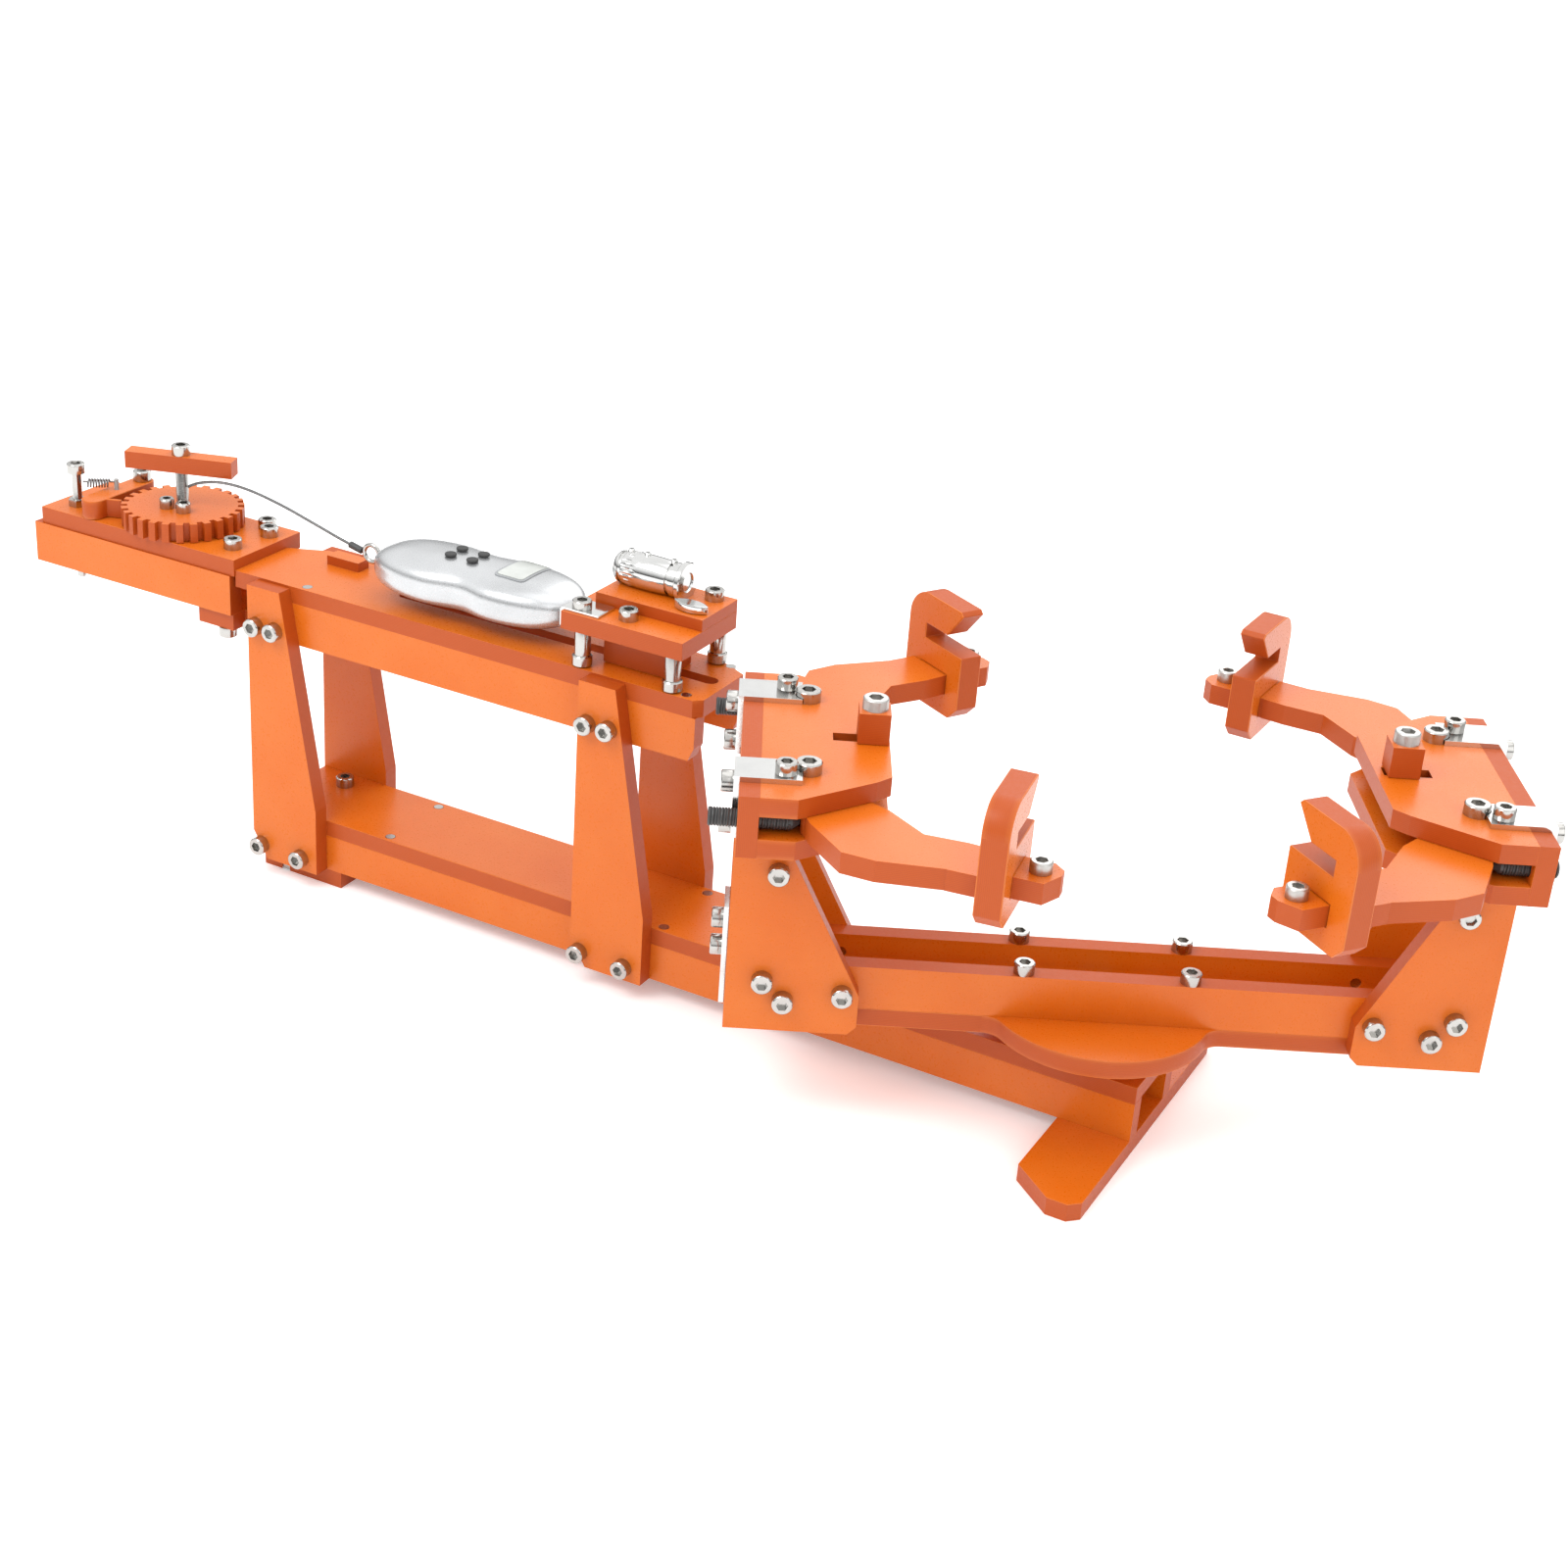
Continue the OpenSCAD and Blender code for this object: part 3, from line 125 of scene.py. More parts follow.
FLOOR_HALF = 12.0
FLOOR_DROP = 0.0002
LAMP_AIM = (-0.2, 0.0, 0.1)
# Each lamp's name, place, energy and size
LAMPS = (("key", (-0.9, -1.3, 1.9), 21.0, 1.1), ("fill", (1.5, -0.9, 1.2), 7.0, 1.6),
         ("top", (0.0, 0.4, 2.2), 8.0, 1.8), ("rear", (-0.3, 1.7, 1.3), 7.0, 1.4))
CAMERA_PLACE = (0.3081, -0.9563, 0.6379)
CAMERA_RIGHT = (0.8943, 0.4475, 0.0)
CAMERA_UP = (-0.1943, 0.3882, 0.9009)
CAMERA_AHEAD = (-0.4031, 0.8057, -0.4341)
CAMERA_ROLL = 0.074
CAMERA_LENS = 56.8


# Settings that a user would change

class StringerFinish(bpy.types.PropertyGroup):
    """Colours and surface sizes of the machine's materials"""
    plate_face: bpy.props.FloatVectorProperty(
        name="Plate face", description="Colour of the phenolic plates' broad faces", subtype="COLOR",
        size=3, min=0.0, max=1.0, default=(0.6, 0.118, 0.002))
    plate_edge: bpy.props.FloatVectorProperty(
        name="Plate edge", description="Colour of the phenolic plates' cut edges", subtype="COLOR",
        size=3, min=0.0, max=1.0, default=(0.4, 0.06, 0.003))
    # Lighter plate colour: random mottle on the faces, and a painted highlight on the bevelled rims
    plate_mottle_and_rim_highlight: bpy.props.FloatVectorProperty(
        name="Plate mottle and rim highlight", description="Colour where a plate's edge is broken", subtype="COLOR",
        size=3, min=0.0, max=1.0, default=(0.68, 0.2, 0.035))
    steel: bpy.props.FloatVectorProperty(
        name="Steel", description="Colour of the screws and straps", subtype="COLOR",
        size=3, min=0.0, max=1.0, default=(0.47, 0.46, 0.44))
    oxide: bpy.props.FloatVectorProperty(
        name="Black oxide", description="Colour of the blackened steel", subtype="COLOR",
        size=3, min=0.0, max=1.0, default=(0.018, 0.018, 0.02))
    housing: bpy.props.FloatVectorProperty(
        name="Housing", description="Colour of the scale's housing", subtype="COLOR",
        size=3, min=0.0, max=1.0, default=(0.55, 0.56, 0.57))
    broken_edge: bpy.props.FloatProperty(
        name="Broken edge", description="Width of the bevel on plates and screws", unit="LENGTH",
        min=0.0001, max=0.001, default=0.00045)


class StringerSize(bpy.types.PropertyGroup):
    """Sizes of the fine parts"""
    thread_pitch: bpy.props.FloatProperty(
        name="Thread pitch", description="Pitch of the adjusting screws' thread", unit="LENGTH",
        min=0.0006, max=0.002, default=0.00125)
    strand_count: bpy.props.IntProperty(
        name="Cable strands", description="Strands twisted into the pull cable", min=3, max=9, default=6)
    strand_lay: bpy.props.FloatProperty(
        name="Cable lay", description="Length in which a strand goes once round the cable",
        unit="LENGTH", min=0.003, max=0.02, default=0.007)
    wheel_teeth: bpy.props.IntProperty(
        name="Wheel teeth", description="Teeth round the ratchet wheel", min=20, max=40, default=27)
    tooth_depth: bpy.props.FloatProperty(
        name="Tooth depth", description="Depth of the ratchet wheel's teeth", unit="LENGTH",
        min=0.002, max=0.0045, default=0.0034)
    seam_depth: bpy.props.FloatProperty(
        name="Housing seam", description="Depth of the groove round the scale's housing",
        unit="LENGTH", min=0.0, max=0.001, default=0.0003)


# Shader helpers

class Tree:
    """A node tree with short calls for adding and joining nodes"""

    def __init__(self, tree):
        self.tree = tree

    def add(self, kind, **values):
        made = self.tree.nodes.new(kind)
        for name, value in values.items():
            setattr(made, name, value)
        return made

    def place(self, kind, sockets, **values):
        """Adds a node and fills its named sockets"""
        made = self.add(kind, **values)
        for label, value in sockets.items():
            self.feed(value, made.inputs[label])
        return made

    def join(self, source, target):
        self.tree.links.new(source, target)

    def math(self, operation, first, second=None, clamp=False):
        made = self.add("ShaderNodeMath", operation=operation, use_clamp=clamp)
        for socket, value in zip(made.inputs, (first, second)):
            self.feed(value, socket)
        return made.outputs[0]

    def vector(self, operation, first, second=None, output=0):
        made = self.add("ShaderNodeVectorMath", operation=operation)
        for socket, value in zip(made.inputs, (first, second)):
            self.feed(value, socket)
        return made.outputs[output]

    def feed(self, value, socket):
        if value is None:
            return
        if isinstance(value, bpy.types.NodeSocket):
            self.join(value, socket)
        else:
            socket.default_value = value

    def mix(self, factor, first, second):
        made = self.add("ShaderNodeMix", data_type="RGBA")
        for index, value in ((0, factor), (6, first), (7, second)):
            self.feed(value, made.inputs[index])
        return made.outputs[2]

    def ramp(self, value, low, high, out_low=0.0, out_high=1.0):
        made = self.add("ShaderNodeMapRange", clamp=True)
        for socket, item in zip(made.inputs, (value, low, high, out_low, out_high)):
            self.feed(item, socket)
        return made.outputs[0]

    def noise(self, vector, scale, detail=3.0, roughness=0.5):
        made = self.place("ShaderNodeTexNoise", {"Vector": vector, "Scale": scale, "Detail": detail,
                                                 "Roughness": roughness})
        return made.outputs["Fac"]


def new_group(name, inputs, outputs):
    """A shader node group with named sockets; returns it with its two ends"""
    group = bpy.data.node_groups.new(name, "ShaderNodeTree")
    for label, kind, default in inputs:
        socket = group.interface.new_socket(label, in_out="INPUT", socket_type=kind)
        socket.default_value = default
    for label, kind in outputs:
        group.interface.new_socket(label, in_out="OUTPUT", socket_type=kind)
    tree = Tree(group)
    return group, tree, tree.add("NodeGroupInput"), tree.add("NodeGroupOutput")


def laminate_group():
    """Phenolic laminate: a satin face with a random lighter mottle, darker layered edges, and a painted
    highlight in a lighter colour along the bevelled rims
    """
    name = "phenolic_laminate"
    if name in bpy.data.node_groups:
        return bpy.data.node_groups[name]
    group, tree, start, end = new_group(
        name,
        [("Axis", "NodeSocketVector", UP), ("Face", "NodeSocketColor", (0.8, 0.2, 0.03, 1)),
         ("Edge", "NodeSocketColor", (0.5, 0.07, 0.02, 1)), ("Rim", "NodeSocketColor", (0.9, 0.4, 0.15, 1)),
         ("Steel", "NodeSocketColor", (0.8, 0.8, 0.8, 1)), ("Steel above", "NodeSocketFloat", 10.0),
         ("Steel below", "NodeSocketFloat", -10.0)],
        [("Color", "NodeSocketColor"), ("Roughness", "NodeSocketFloat"),
         ("Metallic", "NodeSocketFloat"), ("Height", "NodeSocketFloat")])
    spot = tree.add("ShaderNodeTexCoord")
    place, normal = spot.outputs["Object"], spot.outputs["Normal"]
    facing = tree.math("ABSOLUTE", tree.vector("DOT_PRODUCT", normal, start.outputs["Axis"], 1))
    face = tree.ramp(facing, 0.86, 0.97)
    # Picks the bevel faces, turned part way from the axis, for a painted highlight in the lighter colour
    rim = tree.math("MULTIPLY", tree.ramp(facing, 0.12, 0.4), tree.ramp(facing, 0.8, 0.93, 1.0, 0.0))
    cloud = tree.noise(place, 22.0, 4.0, 0.55)
    fibre = tree.noise(place, 900.0, 2.0, 0.6)
    layer = tree.vector("DOT_PRODUCT", place, start.outputs["Axis"], 1)
    stripe = tree.math("SINE", tree.math("ADD", tree.math("MULTIPLY", layer, 7800.0),
                                         tree.math("MULTIPLY", cloud, 3.0)))
    face_tone = tree.mix(tree.ramp(cloud, 0.3, 0.72, 0.0, 0.32), start.outputs["Face"],
                         start.outputs["Rim"])
    face_tone = tree.mix(tree.ramp(fibre, 0.55, 0.8, 0.0, 0.16), face_tone, start.outputs["Edge"])
    edge_tone = tree.mix(tree.ramp(stripe, -0.2, 1.0, 0.0, 0.22), start.outputs["Edge"],
                         start.outputs["Face"])
    body = tree.mix(face, edge_tone, face_tone)
    # Paints the lighter colour over the bevels as a painted rim highlight
    body = tree.mix(tree.math("MULTIPLY", rim, 0.75), body, start.outputs["Rim"])
    height_z = tree.add("ShaderNodeSeparateXYZ")
    tree.join(place, height_z.inputs[0])
    above = tree.math("GREATER_THAN", height_z.outputs["Z"], start.outputs["Steel above"])
    below = tree.math("LESS_THAN", height_z.outputs["Z"], start.outputs["Steel below"])
    metal = tree.math("ADD", above, below, True)
    tree.join(tree.mix(metal, body, start.outputs["Steel"]), end.inputs["Color"])
    rough = tree.math("ADD", tree.ramp(face, 0.0, 1.0, 0.5, 0.3), tree.ramp(fibre, 0.3, 0.8, -0.05, 0.1))
    rough = tree.math("SUBTRACT", rough, tree.math("MULTIPLY", metal, 0.12))
    tree.join(rough, end.inputs["Roughness"])
    tree.join(metal, end.inputs["Metallic"])
    relief = tree.math("ADD", tree.math("MULTIPLY", fibre, 0.5), tree.math("MULTIPLY", stripe, 0.16))
    tree.join(relief, end.inputs["Height"])
    return group


def wear_group():
    """Fine turning lines, handling marks and cloudy dulling on metal"""
    name = "metal_wear"
    if name in bpy.data.node_groups:
        return bpy.data.node_groups[name]
    group, tree, start, end = new_group(
        name,
        [("Color", "NodeSocketColor", (0.8, 0.8, 0.8, 1)), ("Dull", "NodeSocketColor", (0.5, 0.5, 0.5, 1)),
         ("Roughness", "NodeSocketFloat", 0.25), ("Marks", "NodeSocketFloat", 0.5)],
        [("Color", "NodeSocketColor"), ("Roughness", "NodeSocketFloat"), ("Height", "NodeSocketFloat")])
    spot = tree.add("ShaderNodeTexCoord")
    place = spot.outputs["Object"]
    fine = tree.noise(place, 1500.0, 3.0, 0.6)
    cloud = tree.noise(place, 60.0, 3.0, 0.5)
    marks = tree.math("MULTIPLY", tree.ramp(cloud, 0.45, 0.75), start.outputs["Marks"])
    tree.join(tree.mix(marks, start.outputs["Color"], start.outputs["Dull"]), end.inputs["Color"])
    rough = tree.math("ADD", start.outputs["Roughness"], tree.math("MULTIPLY", marks, 0.25))
    tree.join(tree.math("ADD", rough, tree.ramp(fine, 0.3, 0.8, -0.04, 0.08)), end.inputs["Roughness"])
    tree.join(fine, end.inputs["Height"])
    return group


def start_material(name):
    """An empty material with a Principled BSDF"""
    material = bpy.data.materials.new(name)
    material.use_nodes = True
    tree = Tree(material.node_tree)
    shader = material.node_tree.nodes["Principled BSDF"]
    return material, tree, shader


def bump(tree, shader, height, strength, distance):
    made = tree.place("ShaderNodeBump", {"Strength": strength, "Distance": distance, "Height": height})
    tree.join(made.outputs["Normal"], shader.inputs["Normal"])


def opaque(colour):
    return (colour[0], colour[1], colour[2], 1.0)


def laminate(name, axis, steel_above=10.0, steel_below=-10.0):
    """Phenolic plate whose broad faces look along axis; screws in it lie above or below two heights"""
    if name in bpy.data.materials:
        return bpy.data.materials[name]
    finish = bpy.context.scene.stringer_finish
    material, tree, shader = start_material(name)
    group = tree.place("ShaderNodeGroup", {
        "Axis": axis, "Face": opaque(finish.plate_face), "Edge": opaque(finish.plate_edge),
        "Rim": opaque(finish.plate_mottle_and_rim_highlight), "Steel": opaque(finish.steel), "Steel above": steel_above,
        "Steel below": steel_below}, node_tree=laminate_group())
    tree.join(group.outputs["Color"], shader.inputs["Base Color"])
    tree.join(group.outputs["Roughness"], shader.inputs["Roughness"])
    tree.join(group.outputs["Metallic"], shader.inputs["Metallic"])
    shader.inputs["Specular IOR Level"].default_value = 0.34
    shader.inputs["Coat Weight"].default_value = 0.08
    shader.inputs["Coat Roughness"].default_value = 0.22
    bump(tree, shader, group.outputs["Height"], 0.12, 0.0002)
    return material


def metal(name, colour, dull, roughness, marks, relief=0.08):
    """Metal with fine lines and dull patches"""
    if name in bpy.data.materials:
        return bpy.data.materials[name]
    material, tree, shader = start_material(name)
    group = tree.place("ShaderNodeGroup", {
        "Color": opaque(colour), "Dull": opaque(dull), "Roughness": roughness, "Marks": marks},
        node_tree=wear_group())
    tree.join(group.outputs["Color"], shader.inputs["Base Color"])
    tree.join(group.outputs["Roughness"], shader.inputs["Roughness"])
    shader.inputs["Metallic"].default_value = 1.0
    bump(tree, shader, group.outputs["Height"], relief, 0.0001)
    return material


def screw_steel():
    return metal("screw_steel", bpy.context.scene.stringer_finish.steel, (0.3, 0.29, 0.28), 0.15, 0.4)


def wire_steel():
    return metal("wire_steel", (0.24, 0.24, 0.24), (0.14, 0.14, 0.14), 0.35, 0.5)


def polished_steel():
    return metal("polished_steel", (0.66, 0.66, 0.65), (0.45, 0.45, 0.44), 0.09, 0.35, 0.03)


def black_oxide():
    finish = bpy.context.scene.stringer_finish
    return metal("black_oxide", finish.oxide, (0.06, 0.055, 0.05), 0.36, 0.5, 0.15)


def moulded(name, colour, roughness, grain, relief, coat=0.0, metallic=0.0):
    """Moulded plastic or rubber with a fine grain"""
    if name in bpy.data.materials:
        return bpy.data.materials[name]
    material, tree, shader = start_material(name)
    spot = tree.add("ShaderNodeTexCoord")
    fine = tree.noise(spot.outputs["Object"], grain, 2.0, 0.5)
    cloud = tree.noise(spot.outputs["Object"], 30.0, 2.0, 0.5)
    shade = [value * 0.82 for value in colour]
    tree.join(tree.mix(tree.ramp(cloud, 0.35, 0.7), opaque(colour), opaque(shade)),
              shader.inputs["Base Color"])
    tree.join(tree.ramp(fine, 0.3, 0.75, roughness - 0.05, roughness + 0.08), shader.inputs["Roughness"])
    shader.inputs["Coat Weight"].default_value = coat
    shader.inputs["Metallic"].default_value = metallic
    bump(tree, shader, fine, relief, 0.0001)
    return material


def display_glass():
    """Grey-green liquid crystal behind a clear cover"""
    material, tree, shader = start_material("display_glass")
    spot = tree.add("ShaderNodeTexCoord")
    cloud = tree.noise(spot.outputs["Object"], 120.0, 2.0, 0.5)
    tree.join(tree.mix(tree.ramp(cloud, 0.35, 0.7), (0.5, 0.52, 0.49, 1.0), (0.43, 0.45, 0.42, 1.0)),
              shader.inputs["Base Color"])
    shader.inputs["Roughness"].default_value = 0.25
    shader.inputs["Coat Weight"].default_value = 1.0
    shader.inputs["Coat Roughness"].default_value = 0.04
    return material


# Mesh helpers

def corners(node):
    """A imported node's lowest and highest corner"""
    return [Vector(corner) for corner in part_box(node)]


def finish_node(node, material):
    """Gives a CAD node its material and a fine broken edge"""
    piece = NODES[node]
    mesh = piece.data
    mesh.materials.clear()
    mesh.materials.append(material)
    weld = piece.modifiers.new("weld", "WELD")
    weld.merge_threshold = 0.000004
    flat = piece.modifiers.new("flat_faces", "DECIMATE")
    flat.decimate_type = "DISSOLVE"
    flat.angle_limit = math.radians(0.6)
    bevel = piece.modifiers.new("broken_edge", "BEVEL")
    bevel.width = bpy.context.scene.stringer_finish.broken_edge
    bevel.segments = 2
    bevel.limit_method = "ANGLE"
    bevel.angle_limit = math.radians(40)
    bevel.harden_normals = False
    return piece


def new_piece(name, mesh, body, material, replaced=()):
    """Links a finished mesh as a piece that rides on a body"""
    piece = bpy.data.objects.new(name, mesh)
    bpy.context.scene.collection.objects.link(piece)
    if material:
        mesh.materials.clear()
        mesh.materials.append(material)
    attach(piece, body)
    if replaced:
        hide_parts(*replaced)
    return piece


def rings_mesh(name, rings, closed_ends=True):
    """A closed skin through rings of points"""
    shape = bmesh.new()
    rows = [[shape.verts.new(point) for point in ring] for ring in rings]
    count = len(rings[0])
    for low, high in zip(rows, rows[1:]):
        for k in range(count):
            shape.faces.new((low[k], low[(k + 1) % count], high[(k + 1) % count], high[k]))
    if closed_ends:
        shape.faces.new(list(reversed(rows[0])))
        shape.faces.new(rows[-1])
    bmesh.ops.recalc_face_normals(shape, faces=shape.faces)
    mesh = bpy.data.meshes.new(name)
    shape.to_mesh(mesh)
    shape.free()
    return mesh


def joined_mesh(name, meshes):
    """One mesh holding all the given ones"""
    shape = bmesh.new()
    for mesh in meshes:
        shape.from_mesh(mesh)
    made = bpy.data.meshes.new(name)
    shape.to_mesh(made)
    shape.free()
    return made


def smooth_by_angle(mesh, degrees):
    mesh.shade_smooth()
    mesh.set_sharp_from_angle(angle=math.radians(degrees))


def turned_mesh(name, centre, axis, profile, steps=64, floor=None, knurl=(0.0, 0.0, 0.0)):
    """A solid of revolution, cut flat at a floor height; knurl holds the ribs' start, end and depth"""
    along = Vector(axis).normalized()
    side = along.orthogonal().normalized()
    over = along.cross(side)
    rings = []
    for reach, radius in profile:
        ring = []
        for k in range(steps):
            turn = math.tau * k / steps
            rib = knurl[2] if knurl[0] < reach < knurl[1] and k % 4 < 2 else 0.0
            spoke = side * math.cos(turn) + over * math.sin(turn)
            point = Vector(centre) + along * reach + spoke * (radius - rib)
            if floor is not None:
                point.z = max(point.z, floor)
            ring.append(point)
        rings.append(ring)
    return rings_mesh(name, rings)


class ScaleShape:
    """The housing's form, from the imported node's box"""

    def __init__(self):
        low, high = corners("scale_body")
        self.middle = (low + high) / 2
        self.length = (high.x - low.x) / HOUSING_END
        self.half_height = (high.z - low.z) / 2

    def width(self, u):
        return (HOUSING_HALF_WIDTH * math.sqrt(max(0.0, 1 - abs(u) ** 3.4))
                * (1 - 0.16 * math.exp(-u * u * 22)))

    def rise(self, u):
        return self.half_height * math.sqrt(max(0.0, 1 - abs(u) ** 5))

    def ring(self, u, steps):
        points = []
        for k in range(steps):
            turn = math.tau * k / steps
            c, s = math.cos(turn), math.sin(turn)
            y = self.width(u) * math.copysign(abs(c) ** SIDE_ROUND, c)
            z = self.rise(u) * math.copysign(abs(s) ** TOP_ROUND, s)
            points.append(self.middle + Vector((u * self.length / 2, y, z)))
        return points

    def top(self, x, y, lift):
        """The point on the upper skin over a place given in metres from the middle"""
        u = x / (self.length / 2)
        c = min(0.999, (abs(y) / self.width(u)) ** (1 / SIDE_ROUND))
        z = self.rise(u) * math.sqrt(1 - c * c) ** TOP_ROUND
        return self.middle + Vector((x, y, z + lift))

    def patch(self, name, x0, x1, y0, y1, lift, depth, corner):
        """A thin panel with round corners that follows the upper skin"""
        columns, rows = 14, 14
        shape = bmesh.new()
        grid = []
        for i in range(columns + 1):
            line = []
            for j in range(rows + 1):
                a, b = -1 + 2 * i / columns, -1 + 2 * j / rows
                half_x, half_y = (x1 - x0) / 2, (y1 - y0) / 2
                x, y = a * half_x, b * half_y
                over_x, over_y = abs(x) - (half_x - corner), abs(y) - (half_y - corner)
                if over_x > 0 and over_y > 0:
                    reach = math.hypot(over_x, over_y)
                    if reach > corner:
                        x = math.copysign(half_x - corner + over_x * corner / reach, x)
                        y = math.copysign(half_y - corner + over_y * corner / reach, y)
                line.append(shape.verts.new(self.top((x0 + x1) / 2 + x, (y0 + y1) / 2 + y, lift)))
            grid.append(line)
        for i in range(columns):
            for j in range(rows):
                shape.faces.new((grid[i][j], grid[i + 1][j], grid[i + 1][j + 1], grid[i][j + 1]))
        bmesh.ops.recalc_face_normals(shape, faces=shape.faces)
        if sum(face.normal.z for face in shape.faces) < 0:
            bmesh.ops.reverse_faces(shape, faces=shape.faces)
        edge = bmesh.ops.extrude_face_region(shape, geom=list(shape.faces))
        moved = [item for item in edge["geom"] if isinstance(item, bmesh.types.BMVert)]
        for vertex in moved:
            vertex.co.z += depth
        bmesh.ops.recalc_face_normals(shape, faces=shape.faces)
        mesh = bpy.data.meshes.new(name)
        shape.to_mesh(mesh)
        shape.free()
        smooth_by_angle(mesh, 40)
        return mesh


# Geometry Nodes helpers

class Geometry(Tree):
    """A Geometry Nodes tree with named inputs"""

    def __init__(self, name, inputs):
        super().__init__(bpy.data.node_groups.new(name, "GeometryNodeTree"))
        self.sockets = {}
        self.tree.interface.new_socket("Geometry", in_out="INPUT", socket_type="NodeSocketGeometry")
        for label, kind, default in inputs:
            socket = self.tree.interface.new_socket(label, in_out="INPUT", socket_type=kind)
            socket.default_value = default
            self.sockets[label] = socket.identifier
        socket = self.tree.interface.new_socket("Material", in_out="INPUT",
                                                socket_type="NodeSocketMaterial")
        self.sockets["Material"] = socket.identifier
        self.tree.interface.new_socket("Geometry", in_out="OUTPUT", socket_type="NodeSocketGeometry")
        self.start = self.add("NodeGroupInput")
        self.end = self.add("NodeGroupOutput")

    def sweep(self, path, profile):
        """Draws a profile along a path, with its ends capped"""
        made = self.place("GeometryNodeCurveToMesh", {
            "Fill Caps": True, "Curve": path.outputs[0], "Profile Curve": profile.outputs[0]})
        return made.outputs[0]

    def lifted(self, geometry, height):
        offset = self.place("ShaderNodeCombineXYZ", {"Z": height})
        made = self.place("GeometryNodeTransform", {
            "Geometry": geometry, "Translation": offset.outputs[0]})
        return made.outputs[0]

    def close(self, geometry):
        """Ends the tree in Realize Instances and Set Material"""
        real = self.add("GeometryNodeRealizeInstances")
        paint = self.add("GeometryNodeSetMaterial")
        self.join(geometry, real.inputs[0])
        self.join(real.outputs[0], paint.inputs["Geometry"])
        self.join(self.start.outputs["Material"], paint.inputs["Material"])
        self.join(paint.outputs[0], self.end.inputs[0])


def grown_mesh(name, geometry, values, source=None):
    """Runs a tree on a source mesh and returns the result as a plain mesh"""
    carrier = bpy.data.objects.new(name + "_carrier", source or bpy.data.meshes.new(name + "_seed"))
    bpy.context.scene.collection.objects.link(carrier)
    modifier = carrier.modifiers.new("grow", "NODES")
    modifier.node_group = geometry.tree
    for label, value in values.items():
        modifier[geometry.sockets[label]] = value
    bpy.context.view_layer.update()
    evaluated = carrier.evaluated_get(bpy.context.evaluated_depsgraph_get())
    mesh = bpy.data.meshes.new_from_object(evaluated)
    mesh.name = name
    carrier.modifiers.remove(modifier)
    bpy.data.objects.remove(carrier)
    return mesh


def thread_tree():
    """A threaded rod along Z: a core and a ridge wound round it"""
    geometry = Geometry("threaded_rod", [("Length", "NodeSocketFloat", 0.03),
                                         ("Radius", "NodeSocketFloat", 0.004),
                                         ("Pitch", "NodeSocketFloat", 0.00125)])
    start = geometry.start.outputs
    length, pitch = start["Length"], start["Pitch"]
    inner = geometry.math("SUBTRACT", start["Radius"], geometry.math("MULTIPLY", pitch, 0.5))
    winding = geometry.math("SUBTRACT", length, geometry.math("MULTIPLY", pitch, 2.0))
    core = geometry.place("GeometryNodeMeshCylinder", {"Vertices": 32, "Radius": inner, "Depth": length})
    spiral = geometry.place("GeometryNodeCurveSpiral", {
        "Resolution": 24, "Rotations": geometry.math("DIVIDE", winding, pitch),
        "Start Radius": inner, "End Radius": inner, "Height": winding})
    ridge = geometry.place("GeometryNodeCurvePrimitiveCircle", {
        "Resolution": 6, "Radius": geometry.math("MULTIPLY", pitch, 0.46)})
    both = geometry.add("GeometryNodeJoinGeometry")
    for part, height in ((core.outputs["Mesh"], geometry.math("MULTIPLY", length, 0.5)),
                         (geometry.sweep(spiral, ridge), pitch)):
        geometry.join(geometry.lifted(part, height), both.inputs[0])
    geometry.close(both.outputs[0])
    return geometry


def spring_tree():
    """A tension spring along Z: a wire coil with a straight tail at each end"""
    geometry = Geometry("tension_spring", [("Turns", "NodeSocketFloat", 8.0),
                                           ("Coil radius", "NodeSocketFloat", 0.002),
                                           ("Wire radius", "NodeSocketFloat", 0.0004),
                                           ("Length", "NodeSocketFloat", 0.012),
                                           ("Tail", "NodeSocketFloat", 0.0025)])
    start = geometry.start.outputs
    length, radius = start["Length"], start["Coil radius"]
    coil = geometry.place("GeometryNodeCurveSpiral", {
        "Resolution": 28, "Rotations": start["Turns"], "Start Radius": radius, "End Radius": radius,
        "Height": length})
    both = geometry.add("GeometryNodeJoinGeometry")
    geometry.join(coil.outputs[0], both.inputs[0])
    beyond = geometry.math("ADD", length, start["Tail"])
    before = geometry.math("MULTIPLY", start["Tail"], -1.0)
    for inner, outer in ((None, before), (length, beyond)):
        ends = [geometry.place("ShaderNodeCombineXYZ", {"X": radius, "Z": height}).outputs[0]
                for height in (inner, outer)]
        line = geometry.place("GeometryNodeCurvePrimitiveLine", {"Start": ends[0], "End": ends[1]})
        geometry.join(line.outputs[0], both.inputs[0])
    wire = geometry.place("GeometryNodeCurvePrimitiveCircle", {
        "Resolution": 10, "Radius": start["Wire radius"]})
    geometry.close(geometry.sweep(both, wire))
    return geometry


